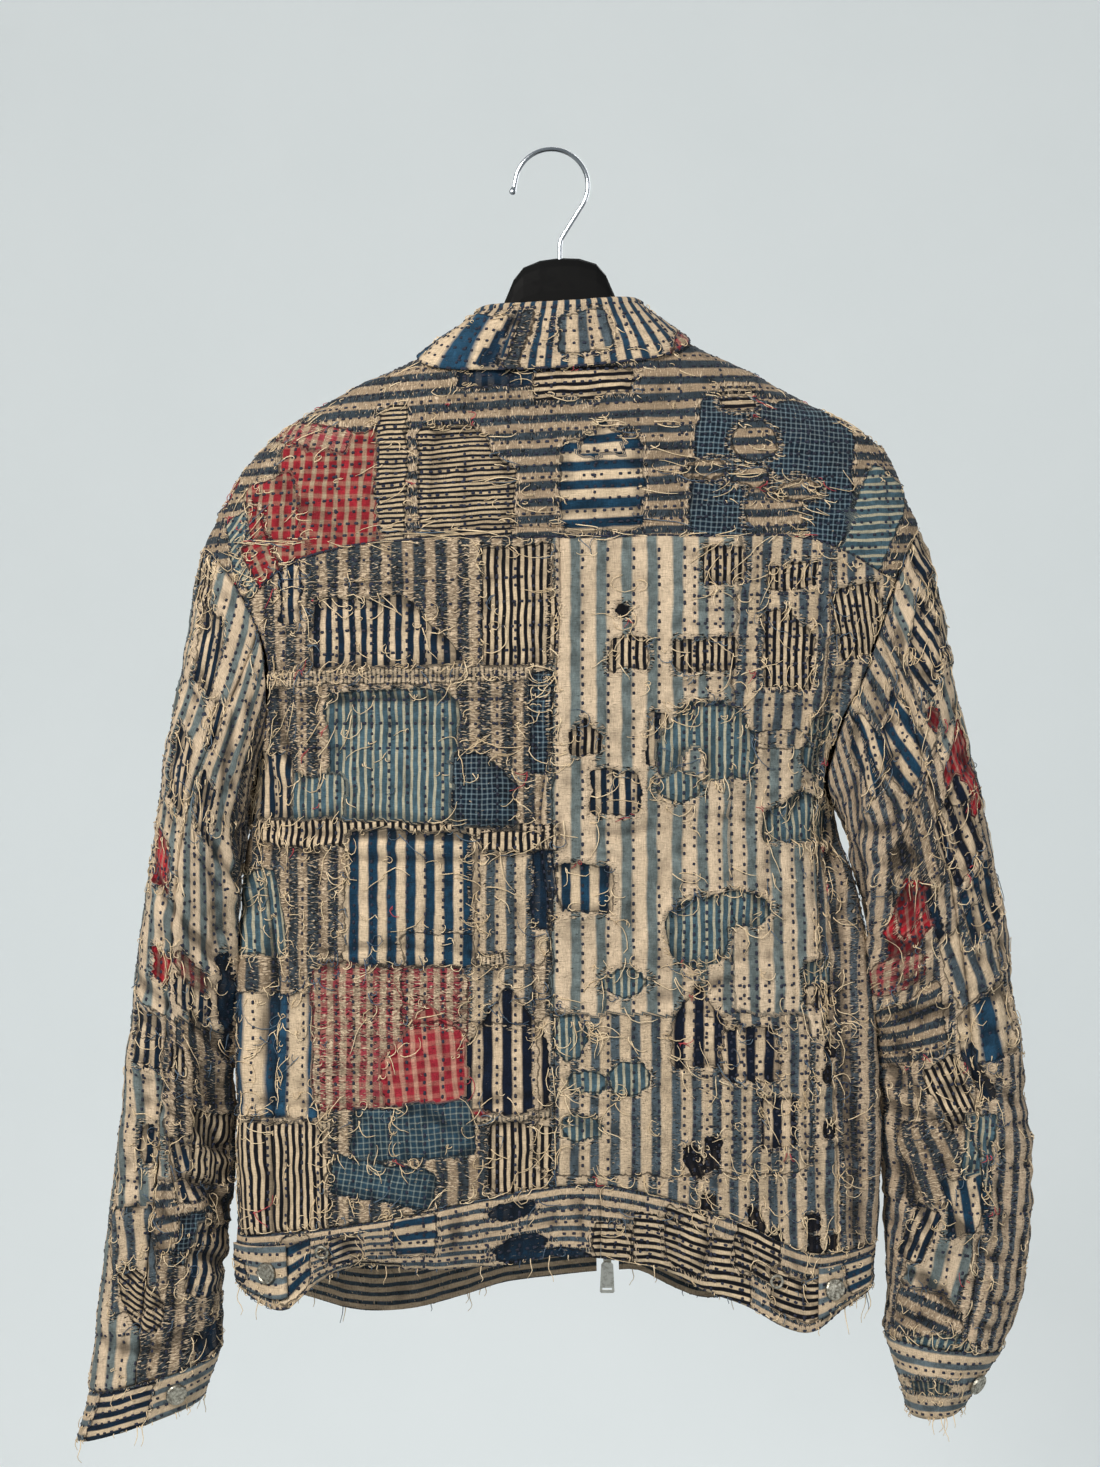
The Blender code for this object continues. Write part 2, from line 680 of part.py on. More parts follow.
def back_grid(side):
    """Half of the back, from the yoke to the waistband."""
    def outer(z):
        return panel_side(side, False, z)

    rows = {at: panel_rows(at, False, yoke_seam, BACK_ROWS) for at in SIDES}
    centre = (rows[-1] + rows[1]) / 2
    if side < 0:
        return region(outer, centre_back, yoke_seam, band_top, BACK_COLUMNS, rows[side], centre)
    return region(centre_back, outer, yoke_seam, band_top, BACK_COLUMNS, centre, rows[side])


def side_grid(side):
    """The narrow piece under the arm."""
    def top(u):
        reach = np.abs(u)
        angles, levels = ARMHOLE_CURVES[side, False]
        low = levels <= SEAM_START[side] + 5
        return np.interp(np.where(reach <= 1, reach, 2 - reach), np.abs(angles[low]), levels[low])

    edges = [lambda z: side_seam(side, False, z), lambda z: side_seam(side, True, z)]
    left, right = edges if side > 0 else edges[::-1]
    return region(left, right, top, band_top, SIDE_COLUMNS, np.linspace(0, 1, SEAM_ROWS))


def front_grid(side):
    """Half of the front, from the shoulder ridge to the waistband."""
    def inner(z):
        return front_edge(side, FRONT_EDGE, z)

    def outer(z):
        return panel_side(side, True, z)

    left, right = (inner, outer) if side < 0 else (outer, inner)
    rows = panel_rows(side, True, neck_seam, FRONT_ROWS)
    return region(left, right, neck_seam, band_top, FRONT_COLUMNS, rows)


def torso_panels():
    """The panels of the torso, each a wall on a part of its surface."""
    wall("back_yoke", torso, *yoke_grid(), CLOTH, "boro", inward=-1)
    for side, name in SIDES.items():
        cloth = "boro" if side < 0 else "boro_pale"
        wall(f"back_panel_{name}", torso, *back_grid(side), CLOTH, cloth, inward=-1)
        wall(f"side_panel_{name}", torso, *side_grid(side), CLOTH, "boro_blue", inward=-1)
        wall(f"front_panel_{name}", torso, *front_grid(side), CLOTH, "boro", inward=-1)


def waistband():
    """The waistband's two halves, joined at the back and open at the zip.

    Its columns are the panels' own, so the seam's two edges follow each other."""
    join = float(ring_angle(BAND_JOIN, -750.0, 1))
    grids = [grid(side)[0] for side in SIDES for grid in (front_grid, side_grid, back_grid)]
    ring = np.unique(np.round(np.concatenate([u[-1] for u in grids]), 6))
    for name, part in (("left", ring[ring < join - 0.02]), ("right", ring[ring > join + 0.02])):
        turns = np.append(part, join) if name == "left" else np.insert(part, 0, join)
        u, down = np.broadcast_arrays(turns[None, :], np.linspace(0, 1, 3)[:, None])
        wall(f"waistband_{name}", band, u, down, BAND_CLOTH, "boro_pale", steps=(1e-3, 1e-3))


def zip_tape(side):
    """The tape that carries one row of teeth, beside the front's edge."""
    levels = np.linspace(NECK_FRONT - 3, ZIP_END + 0.4, 18)[:, None]
    u = np.concatenate([front_edge(side, out, levels) for out in (FRONT_EDGE, TAPE_INNER)], axis=1)
    level = np.broadcast_to(levels, u.shape)
    wall(f"zip_tape_{SIDES[side]}", torso, u, level, TAPE_CLOTH, "tape", inward=-1)


def moved_aside(surface, side):
    """The surface, moved a seam's gap away from the torso."""
    def moved(at, along):
        points = surface(side, at, along)
        points[..., 0] += side * ARMHOLE_GAP
        return points
    return moved


def sleeve_turns(under):
    """Degrees round the sleeve of the columns of its outer or under piece."""
    if under:
        return np.linspace(SLEEVE_SEAM_BACK, 360 + SLEEVE_SEAM_FRONT, SLEEVE_COLUMNS)
    return np.linspace(SLEEVE_SEAM_FRONT, SLEEVE_SEAM_BACK, SLEEVE_COLUMNS)


def sleeve_piece(side, under):
    """The outer or the under piece of a sleeve."""
    down = (np.linspace(0, 1, SLEEVE_ROWS) ** 1.1)[:, None]
    turn, down = np.broadcast_arrays(sleeve_turns(under)[None, :], down)
    part, material = ("under", "boro_blue") if under else ("outer", "boro_pale")
    wall(f"sleeve_{part}_{SIDES[side]}", moved_aside(sleeve, side), turn, down, CLOTH, material,
         inward=-side, steps=(0.5, 2e-3))


def cuff_surface(side, turn, down):
    """Points of a cuff: `turn` degrees round, `down` 0 at the sleeve to 1 at its edge."""
    last, end = SLEEVE[side][-1], CUFF[side]
    row = {name: getattr(last, name) + (getattr(end, name) - getattr(last, name)) * down
           for name in SleeveRow._fields}
    return ring_points(row, turn)


def cuff(side):
    """The band at the end of a sleeve, closed round the wrist."""
    surface = moved_aside(cuff_surface, side)
    turns = np.concatenate([sleeve_turns(False)[:-1], sleeve_turns(True)[:-1]])
    rows, columns = 3, len(turns)
    turn, down = np.broadcast_arrays(turns[None, :], np.linspace(0, 1, rows)[:, None])
    outer = surface(turn, down)
    normal = normals_of(surface, turn, down, 0.5, 1e-3) * -side
    way = outer[1] - outer[0]
    outer[0] += way / np.linalg.norm(way, axis=-1, keepdims=True) * CUFF_GAP
    points = np.concatenate([outer.reshape(-1, 3), (outer + normal * BAND_CLOTH).reshape(-1, 3)])
    count = rows * columns
    faces = []
    for c in range(columns):
        n = (c + 1) % columns
        for r in range(rows - 1):
            a, b = r * columns + c, r * columns + n
            d, e = a + columns, b + columns
            faces += [(a, b, e, d), (a + count, d + count, e + count, b + count)]
        end, far = (rows - 1) * columns + c, (rows - 1) * columns + n
        faces += [(c, c + count, n + count, n), (end, far, far + count, end + count)]
    make_object(f"cuff_{SIDES[side]}", points, faces, "boro_pale")


def collar_piece():
    """The collar: a stand that folds over into a leaf."""
    round_ = np.linspace(-1, 1, 27)[None, :]
    along = np.array([0.0, 0.15, 0.30, 0.33, 0.36, 0.39, 0.42, 0.70, 1.0])[:, None]
    round_, along = np.broadcast_arrays(round_, along)
    return wall("collar", collar, round_, along, COLLAR_CLOTH, "boro_pale", steps=(1e-3, 1e-3))


# ---------------------------------------------------------------- trim

def moved_out(surface, u, down, distance):
    """Points of a surface, moved out along its normals."""
    normal = normals_of(surface, u, down, 1e-3, 1e-3)
    points = surface(u, down)
    outward = np.sign((normal * (points - np.array([0, 0, points[..., 2].mean()]))).sum(-1, keepdims=True))
    return points + normal * outward * distance, normal * outward


def waist_tab(side):
    """The strap at the side of the waistband that takes it in."""
    ends = [float(ring_angle(x, -790.0, side)) for x in TAB_ENDS[side]]
    u, down = np.broadcast_arrays(np.linspace(*ends, 9)[None, :], np.linspace(0.16, 0.86, 3)[:, None])
    inner, normal = moved_out(band, u, down, LAY_GAP + 0.4)
    points = np.concatenate([(inner + normal * TAB_CLOTH).reshape(-1, 3), inner.reshape(-1, 3)])
    make_object(f"waist_tab_{SIDES[side]}", points, wall_faces(*inner.shape[:2]), "boro_pale")


def basis(normal):
    """Two directions square to a normal."""
    normal = normal / np.linalg.norm(normal)
    side = np.cross(normal, [0.0, 0.0, 1.0])
    side /= np.linalg.norm(side)
    return side, np.cross(normal, side), normal


def tube_faces(rings, around):
    """Faces of a tube of rings of points, with its two ends closed."""
    faces = []
    for r in range(rings - 1):
        for k in range(around):
            n = (k + 1) % around
            faces.append((r * around + k, r * around + n, (r + 1) * around + n, (r + 1) * around + k))
    faces.append(tuple(range(around))[::-1])
    faces.append(tuple((rings - 1) * around + k for k in range(around)))
    return faces


def turned(name, profile, place, normal, material, segments=24):
    """A turned piece: profile rows are (radius, height) along the normal at `place`."""
    side, other, normal = basis(normal)
    points = []
    for radius, height in profile:
        for k in range(segments):
            angle = 2 * math.pi * k / segments
            out = side * math.cos(angle) + other * math.sin(angle)
            points.append(place + normal * height + out * radius)
    return make_object(name, np.array(points), tube_faces(len(profile), segments), material)


BUTTON_PROFILE = [
    (0.55, 0.0), (0.92, 0.02), (1.0, 0.25), (0.98, 0.70),
    (0.90, 0.92), (0.78, 0.92), (0.70, 0.80), (0.30, 0.86),
]


def tack_button(name, place, normal):
    """A metal tack button: a flat dish with a rolled rim."""
    profile = [(r * BUTTON_RADIUS, LAY_GAP + h * BUTTON_HEIGHT) for r, h in BUTTON_PROFILE]
    return turned(name, profile, place, normal, "button_metal")


def ring_stud(name, place, normal):
    """A small open ring stud."""
    side, other, normal = basis(normal)
    around, section = 24, 8
    points, faces = [], []
    for k in range(around):
        angle = 2 * math.pi * k / around
        out = side * math.cos(angle) + other * math.sin(angle)
        for m in range(section):
            bend = 2 * math.pi * m / section
            lift = LAY_GAP + STUD_WIRE * (1 + math.sin(bend))
            points.append(place + out * (STUD_RADIUS + STUD_WIRE * math.cos(bend)) + normal * lift)
    for k in range(around):
        for m in range(section):
            a, b = k * section + m, k * section + (m + 1) % section
            c, d = ((k + 1) % around) * section + m, ((k + 1) % around) * section + (m + 1) % section
            faces.append((a, c, d, b))
    return make_object(name, np.array(points), faces, "button_metal")


def band_spot(x, down, side, lift):
    """A point on the waistband's back and the direction out of it."""
    u = np.array([[float(ring_angle(x, -790.0, side))]])
    points, normal = moved_out(band, u, np.array([[down]]), lift)
    return points[0, 0], normal[0, 0]


def waist_trim():
    """Tabs, their tack buttons and the ring studs beside them."""
    for side, button_x, stud_x, stud_down in ((-1, -196.0, -158.0, 0.42), (1, 195.0, 155.0, 0.50)):
        name = SIDES[side]
        waist_tab(side)
        place, normal = band_spot(button_x, 0.52, side, LAY_GAP + 0.4 + TAB_CLOTH + 0.15)
        tack_button(f"tab_button_{name}", place, normal)
        place, normal = band_spot(stud_x, stud_down, side, 0.6)
        ring_stud(f"ring_stud_{name}", place, normal)


def cuff_trim():
    """A tack button on each cuff."""
    for side, turn in ((-1, 122.0), (1, 42.0)):
        at, down = np.array([[turn]]), np.array([[0.5]])
        surface = moved_aside(cuff_surface, side)
        normal = normals_of(surface, at, down, 0.5, 1e-3)[0, 0] * side
        tack_button(f"cuff_button_{SIDES[side]}", surface(at, down)[0, 0] + normal * 0.2, normal)


# ---------------------------------------------------------------- zip slider and pull

SLIDER_SIZE = (8.4, 6.0, 13.0)
PIN_RADIUS = 0.7
PULL_WALL = 1.5
PULL_LENGTH = 29.0
ACROSS = np.array([1.0, 0.001, 0.0])     # direction of the pin


def zip_place():
    """The middle of the slider, on the front's surface."""
    level = ZIP_END - SLIDER_SIZE[2] / 2
    x = float(zip_line(level))
    u = ring_angle(x, level, 1, front=True)
    return torso(float(u), level)


def prism(name, outline, low, high, material, place):
    """An outline in X and Z, made solid from y low to high."""
    count = len(outline)
    points = [(x, low, z) for x, z in outline] + [(x, high, z) for x, z in outline]
    faces = [tuple(range(count)), tuple(range(count, 2 * count))[::-1]]
    faces += [(k, (k + 1) % count, count + (k + 1) % count, count + k) for k in range(count)]
    return make_object(name, np.array(points) + place, faces, material, 30)


def cutter(name, size, place):
    """A box that a Boolean takes away."""
    sx, sy, sz = (s / 2 for s in size)
    outline = [(-sx, -sz), (sx, -sz), (sx, sz), (-sx, sz)]
    made = prism(name, outline, -sy, sy, "chrome", np.array(place))
    made.hide_render = True
    made.display_type = "WIRE"
    return made


def combine(target, other, operation):
    """Adds a Boolean of two meshes to the target."""
    modifier = target.modifiers.new(operation.lower(), "BOOLEAN")
    modifier.operation = operation
    modifier.object = other
    modifier.solver = "EXACT"


def zip_hardware():
    """The slider, with a pin between two ears, and the pull that swings on the pin."""
    wide, deep, high = SLIDER_SIZE
    place = zip_place()
    body = [(-wide / 2, high / 2), (-wide / 2, 0), (-wide / 2 + 1.6, -high / 2),
            (wide / 2 - 1.6, -high / 2), (wide / 2, 0), (wide / 2, high / 2)]
    slider = prism("zip_slider", body, -deep / 2, deep / 2, "chrome", place)
    ear_outline = [(1.7, -1.9), (3.0, -1.9), (3.0, 1.9), (1.7, 1.9)]
    ear_reach = deep / 2 + 3.7
    pin_place = place + np.array([0, deep / 2 + 2.5, -1.5])
    for side in (-1, 1):
        outline = [(side * x, z - 1.5) for x, z in ear_outline]
        ear = prism(f"ear_{side}", outline, deep / 2 - 0.5, ear_reach, "chrome", place)
        ear.hide_render = True
        ear.display_type = "WIRE"
        combine(slider, ear, "UNION")
    pin = turned("pin", [(PIN_RADIUS, -2.4), (PIN_RADIUS, 2.4)], pin_place, ACROSS, "chrome", 16)
    pin.hide_render = True
    pin.display_type = "WIRE"
    combine(slider, pin, "UNION")
    return pin_place


def zip_pull(pin_place):
    """A tapered plate with an eye round the slider's pin, its origin on the pin."""
    clear, half_top, half_bottom = 0.35, 1.35, 5.4
    reach = PIN_RADIUS + clear + 0.9
    turns = np.arange(16) * math.pi / 8
    points = [(x, math.cos(a) * reach, math.sin(a) * reach) for x in (-half_top, half_top) for a in turns]
    pull = make_object("zip_pull", np.array(points), tube_faces(2, 16), "chrome", 30)
    plate = [(-half_top, -1.4), (-half_top, -4.5), (-4.4, -8.0), (-half_bottom, -PULL_LENGTH + 1),
             (-half_bottom + 1, -PULL_LENGTH), (half_bottom - 1, -PULL_LENGTH),
             (half_bottom, -PULL_LENGTH + 1), (4.4, -8.0), (half_top, -4.5), (half_top, -1.4)]
    blade = prism("pull_blade", plate, -PULL_WALL / 2, PULL_WALL / 2, "chrome", np.zeros(3))
    bore = turned("pull_bore", [(PIN_RADIUS + clear, -4.0), (PIN_RADIUS + clear, 4.0)], np.zeros(3),
                  ACROSS, "chrome", 16)
    slot = cutter("pull_slot", (7.0, 4.0, 1.6), (0, 0, -PULL_LENGTH + 3.0))
    for helper, operation in ((blade, "UNION"), (bore, "DIFFERENCE"), (slot, "DIFFERENCE")):
        helper.hide_render = True
        helper.display_type = "WIRE"
        combine(pull, helper, operation)
    for piece in (pull, blade, bore, slot):
        piece.location = tuple(pin_place * MM)


# ---------------------------------------------------------------- hanger

def ridge_height(x):
    """Height of the shoulder ridge at x."""
    side = "right" if x > TILT_CENTRE else "left"
    levels = np.linspace(-134, -282, 300)
    reach = read(TORSO, "z", side, levels)
    order = np.argsort(reach)
    level = float(np.interp(x, reach[order], levels[order]))
    return level + TILT * (x - TILT_CENTRE)


def hanger_sections():
    """Sections of the hanger from left to right: x, top, bottom and half depth."""
    sections = []
    for side in (-1, 1):
        half = []
        for row in HANGER[(0 if side > 0 else 1):]:
            x = HANGER_X + side * row.out
            top = HANGER_TOP - row.drop + TILT * side * row.out
            half.append((x, top, top - row.height, row.depth))
        for row in HANGER_ARM:
            x = HANGER_X + side * row.out
            slope = (ridge_height(x + 3) - ridge_height(x - 3)) / 6
            under = CLOTH * math.sqrt(1 + slope * slope) + HANGER_CLEAR
            top = ridge_height(x) - under - row.drop
            half.append((x, top, top - row.height, row.depth))
        sections = half[::-1] + sections if side < 0 else sections + half
    return sections


def hanger_body():
    """The hanger: a flat neck that widens into thick, sloping arms."""
    around = 20
    points = []
    sections = hanger_sections()
    for x, top, bottom, depth in sections:
        middle, half = (top + bottom) / 2, (top - bottom) / 2
        for k in range(around):
            angle = 2 * math.pi * k / around
            c, s = math.cos(angle), math.sin(angle)
            y = depth * math.copysign(abs(c) ** HANGER_SQUARE, c)
            points.append((x, y, middle + half * s))
    body = make_object("hanger_body", np.array(points), tube_faces(len(sections), around), "hanger_black")
    bore = turned("hanger_bore", [(HOOK_WIRE / 2 + LAY_GAP, -14.0), (HOOK_WIRE / 2 + LAY_GAP, 8.0)],
                  np.array([HANGER_X, 0, HANGER_TOP]), np.array([0.001, 0, 1.0]), "chrome", 20)
    bore.hide_render = True
    bore.display_type = "WIRE"
    combine(body, bore, "DIFFERENCE")
    return body


def hook_path():
    """The hook's middle line: ball end, bend, the slant back, and the shaft."""
    path = []
    centre = np.array([0.0, -HOOK_BEND + HOOK_WIRE / 2])
    path += [np.array([-27.6, -28.6]), np.array([-26.6, -25.4])]
    for degree in np.linspace(163, -32, 28):
        angle = math.radians(degree)
        path.append(centre + HOOK_BEND * np.array([math.cos(angle), math.sin(angle)]))
    turn_radius = 13.0
    slant = math.radians(-32 - 90)
    way = np.array([math.cos(slant), math.sin(slant)])
    swing = math.radians(90 - 32)
    corner = path[-1] + way * ((HANGER_X - path[-1][0]) / way[0])
    lead = turn_radius * math.tan((math.pi / 2 - swing) / 2)
    begin = corner - way * lead
    middle = begin + turn_radius * np.array([-way[1], way[0]])
    if abs(middle[0] - HANGER_X) < 1:
        middle = begin - turn_radius * np.array([-way[1], way[0]])
    start = math.atan2(begin[1] - middle[1], begin[0] - middle[0])
    finish = math.pi if middle[0] > HANGER_X else 0.0
    for share in np.linspace(0, 1, 7):
        angle = start + (finish - start) * share
        path.append(middle + turn_radius * np.array([math.cos(angle), math.sin(angle)]))
    path.append(np.array([HANGER_X, HANGER_TOP + 4]))
    path.append(np.array([HANGER_X, HANGER_TOP - 13.4]))
    return [np.array([x, 0.0, z]) for x, z in path]


def hanger_hook():
    """The chromed wire hook, with a ball at its free end."""
    path = hook_path()
    around = 12
    ball = 2.5
    start, way = path[0], path[1] - path[0]
    way = way / np.linalg.norm(way)
    rings = []
    for degree in (-80, -50, -20, 10, 38):
        angle = math.radians(degree)
        rings.append((start + way * ball * math.sin(angle), ball * math.cos(angle)))
    rings += [(point, HOOK_WIRE / 2) for point in path[1:]]
    points = []
    for index, (point, radius) in enumerate(rings):
        before = rings[max(index - 1, 0)][0]
        after = rings[min(index + 1, len(rings) - 1)][0]
        along = (after - before) / np.linalg.norm(after - before)
        other = np.array([0.0, 1.0, 0.0])
        third = np.cross(along, other)
        for k in range(around):
            angle = 2 * math.pi * k / around
            points.append(point + (other * math.cos(angle) + third * math.sin(angle)) * radius)
    return make_object("hanger_hook", np.array(points), tube_faces(len(rings), around), "chrome", 60)


# ---------------------------------------------------------------- build

def make_materials():
    """One Principled material for each finish."""
    made = {}
    for name, (colour, metallic, roughness) in FINISHES.items():
        material = bpy.data.materials.new(name)
        material.use_nodes = True
        shader = material.node_tree.nodes["Principled BSDF"]
        shader.inputs["Base Color"].default_value = (*colour, 1.0)
        shader.inputs["Metallic"].default_value = metallic
        shader.inputs["Roughness"].default_value = roughness
        made[name] = material
    return made


def clear_scene():
    """Removes whatever the scene holds."""
    for old in list(bpy.data.objects):
        bpy.data.objects.remove(old)


def build():
    """Builds every piece."""
    torso_panels()
    waistband()
    for side in SIDES:
        zip_tape(side)
        sleeve_piece(side, under=False)
        sleeve_piece(side, under=True)
        cuff(side)
    collar_piece()
    waist_trim()
    cuff_trim()
    zip_pull(zip_hardware())
    hanger_body()
    hanger_hook()


clear_scene()
MATERIALS = make_materials()
build()
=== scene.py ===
"""Finishes a patched boro jacket that hangs, its back to the viewer, on a black hanger.

Frame: +X to the viewer's right, -Y towards the viewer (the jacket's back), +Z up, with
the origin at the inside top of the hanger hook's bend. Sizes in this file are in
millimetres, and meshes are made in metres. Each cloth piece is a thin shell on the
form of its solid, with creases, puckers, torn windows and patches pressed into it.
The weave, stripes and checks are drawn by one material that reads what each point of
the cloth is made of. Sashiko stitches, loose threads and zip teeth are modelled.
"""

import logging
import math
from dataclasses import dataclass, field
from enum import Enum
from functools import partial
from typing import Callable, NamedTuple

import bpy
import numpy as np
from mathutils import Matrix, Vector


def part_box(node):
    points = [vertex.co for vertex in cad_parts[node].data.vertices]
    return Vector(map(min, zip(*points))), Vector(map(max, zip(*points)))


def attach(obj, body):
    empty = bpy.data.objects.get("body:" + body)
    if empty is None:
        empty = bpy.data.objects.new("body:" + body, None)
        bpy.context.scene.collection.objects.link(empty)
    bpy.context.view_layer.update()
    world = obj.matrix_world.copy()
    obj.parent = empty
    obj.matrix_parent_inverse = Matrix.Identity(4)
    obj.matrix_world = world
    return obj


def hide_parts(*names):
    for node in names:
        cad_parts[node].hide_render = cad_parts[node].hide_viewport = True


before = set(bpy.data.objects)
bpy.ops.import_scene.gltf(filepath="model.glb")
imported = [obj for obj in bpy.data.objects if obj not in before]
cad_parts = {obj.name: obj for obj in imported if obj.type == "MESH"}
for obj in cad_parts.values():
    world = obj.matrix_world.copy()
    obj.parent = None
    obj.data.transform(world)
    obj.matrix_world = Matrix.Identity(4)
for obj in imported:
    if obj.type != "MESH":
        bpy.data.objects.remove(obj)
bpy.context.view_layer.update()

MM = 0.001
SIDES = {-1: "left", 1: "right"}
log = logging.getLogger("jacket")
Grid, Socket, Material = np.ndarray, bpy.types.NodeSocket, bpy.types.Material


# ---- small tools

def linear(code: str) -> tuple[float, float, float, float]:
    """Turns an sRGB hex colour to the linear values that Blender works in.

    Args:
        code: the colour as "#RRGGBB".

    Returns:
        Red, green, blue and an alpha of 1.
    """
    parts = [int(code[at:at + 2], 16) / 255 for at in (1, 3, 5)]
    return (*[c / 12.92 if c <= 0.04045 else ((c + 0.055) / 1.055) ** 2.4 for c in parts], 1.0)


def wire(node: bpy.types.Node, inputs: dict) -> None:
    """Links each input, by name or number, to a socket, or sets it to a value."""
    for key, value in inputs.items():
        if isinstance(value, Socket):
            node.id_data.links.new(value, node.inputs[key])
        else:
            node.inputs[key].default_value = value


def add_node(tree: bpy.types.NodeTree, kind: str, *values: object, at: dict | None = None,
        out: int | str = 0, **more: object) -> Socket:
    """Adds one shader node with its settings and links.

    Args:
        tree: the node tree it goes into.
        kind: the node's type, without "ShaderNode".
        values: what its inputs take, in order.
        at: what its inputs take, by number.
        out: the name or number of the output to hand back.
        more: the node's own properties, and what its inputs take by name.

    Returns:
        The output socket asked for.
    """
    node = tree.nodes.new("ShaderNode" + kind)
    own = {name for name in more if hasattr(node, name)}
    for name in own:
        setattr(node, name, more[name])
    wire(node, dict(enumerate(values)) | (at or {}))
    wire(node, {name.replace("_", " "): value for name, value in more.items() if name not in own})
    return node.outputs[out]


class Finish:
    """A material being made: its nodes are added one by one, then its shader is wired."""

    def __init__(self, name: str) -> None:
        """Starts a material, and reads where each point is."""
        self.material = bpy.data.materials.new(name)
        self.material.use_nodes = True
        self.add = partial(add_node, self.material.node_tree)
        self.place = self.add("TexCoord", out="Object")

    def wire(self, inputs: dict) -> Material:
        """Wires the shader's inputs and hands the material back."""
        wire(self.material.node_tree.nodes["Principled BSDF"], inputs)
        return self.material


def column(table: list, name: str) -> Grid:
    """Gives one named column of a table as numbers."""
    return np.array([getattr(row, name) for row in table], float)


def smooth(at: Grid, keys: Grid, values: Grid) -> Grid:
    """Reads a smooth curve through a table's values.

    Args:
        at: where it is read.
        keys: the places of the values, all rising or all falling.
        values: what the curve passes through.

    Returns:
        The values at `at`.
    """
    at = np.asarray(at, float)
    if keys[0] > keys[-1]:
        keys, values = keys[::-1], values[::-1]
    slopes = np.gradient(values, keys)
    place = np.clip(at, keys[0], keys[-1])
    cell = np.clip(np.searchsorted(keys, place) - 1, 0, len(keys) - 2)
    width = keys[cell + 1] - keys[cell]
    t = (place - keys[cell]) / width
    start = values[cell] * (1 + 2 * t) * (1 - t) ** 2 + slopes[cell] * width * t * (1 - t) ** 2
    end = values[cell + 1] * t * t * (3 - 2 * t) - slopes[cell + 1] * width * t * t * (1 - t)
    return start + end


def read(table: list, key: str, name: str, at: Grid) -> Grid:
    """Reads a table's column `name` smoothly along its column `key`."""
    return smooth(at, column(table, key), column(table, name))


def rows(kind: type, *values: tuple) -> list:
    """Makes a table's rows from their values."""
    return [kind(*row) for row in values]


def norm(vectors: Grid) -> Grid:
    """Gives the length of each vector."""
    return np.linalg.norm(vectors, axis=-1)


def unit(vectors: Grid) -> Grid:
    """Gives each vector's direction, with a length of 1."""
    return vectors / norm(vectors)[..., None].clip(1e-9)


def run_along(points: Grid, axis: int) -> Grid:
    """Gives the distance run along an axis of some points, from 0 at its start."""
    return np.insert(np.cumsum(norm(np.diff(points, axis=axis)), axis=axis), 0, 0.0, axis=axis)


def fade(value: Grid, start: float, end: float) -> Grid:
    """Goes smoothly from 0 at `start` to 1 at `end`."""
    t = np.clip((np.asarray(value, float) - start) / (end - start), 0, 1)
    return t * t * (3 - 2 * t)


def noise(points: Grid, scale: float, seed: int) -> Grid:
    """Gives smooth random values that depend on place alone.

    Args:
        points: places, in millimetres.
        scale: the size of one swell, in millimetres.
        seed: which of many such fields.

    Returns:
        A value from -1 to 1 for each point.
    """
    place = points / scale + 1000.0
    cell = np.floor(place).astype(np.int64)
    part = place - cell
    part = part * part * (3 - 2 * part)
    total = np.zeros(points.shape[:-1])
    for corner in range(8):
        step = np.array([corner & 1, corner >> 1 & 1, corner >> 2])
        x, y, z = np.moveaxis(cell + step, -1, 0)
        mixed = (x * 73856093 ^ y * 19349663 ^ z * 83492791 ^ seed * 2654435761) & 0xFFFFFFFF
        mixed = (mixed ^ mixed >> 13) * 1274126177 & 0xFFFFFFFF
        value = (mixed ^ mixed >> 16) / 0x7FFFFFFF - 1
        share = np.where(step == 1, part, 1 - part).prod(axis=-1)
        total += value * share
    return total


def seen(points: Grid) -> Grid:
    """Projects points from the camera onto the hook's plane.

    Args:
        points: places on the jacket, in millimetres.

    Returns:
        x and z there, which is how patches and creases are placed.
    """
    share = VIEWER.distance / (VIEWER.distance + points[..., 1])
    x = VIEWER.x + (points[..., 0] - VIEWER.x) * share
    z = VIEWER.height + (points[..., 2] - VIEWER.height) * share
    return np.stack([x, z], axis=-1)


@dataclass(frozen=True)
class Viewer:
    """Where the camera stands, square on to the jacket's back."""

    x: float = -1.0
    height: float = -415.0
    distance: float = 1783.0
    view_height: float = 1046.0     # how much of the hook's plane it takes in, top to bottom

    def build(self) -> None:
        """Makes the camera and the scene's colour setting."""
        data = bpy.data.cameras.new("camera")
        data.sensor_fit = "VERTICAL"
        data.angle = 2 * math.atan(self.view_height / 2 / self.distance)
        made = bpy.data.objects.new("camera", data)
        made.location = (self.x * MM, -self.distance * MM, self.height * MM)
        made.rotation_euler = (math.radians(90), 0, 0)
        bpy.context.scene.collection.objects.link(made)
        bpy.context.scene.camera = made
        bpy.context.scene.view_settings.view_transform = "Standard"


VIEWER = Viewer()


# ---- the jacket's form

class TorsoRow(NamedTuple):
    """A ring of the torso: its height, the x of its sides, its depth behind and before."""

    z: float
    left: float
    right: float
    back: float
    front: float


class ArmholeRow(NamedTuple):
    """A level of an armhole. The ends have no x, because they lie on the torso's side."""

    z: float
    x: float | None


class SeamRow(NamedTuple):
    """A point of the yoke's lower seam."""

    x: float
    z: float


class BandRow(NamedTuple):
    """A place along the waistband: its edges and how far its lower edge swings."""

    x: float
    top: float
    bottom: float
    swing: float


class SleeveRow(NamedTuple):
    """A ring of a sleeve: its outer and inner ends, its depth behind and before."""

    outer_x: float
    outer_z: float
    inner_x: float
    inner_z: float
    back: float
    front: float


class FoldRow(NamedTuple):
    """A large fold of a sleeve: where it lies, its size, depth and slant."""

    down: float
    round: float
    length: float
    width: float
    depth: float
    slant: float


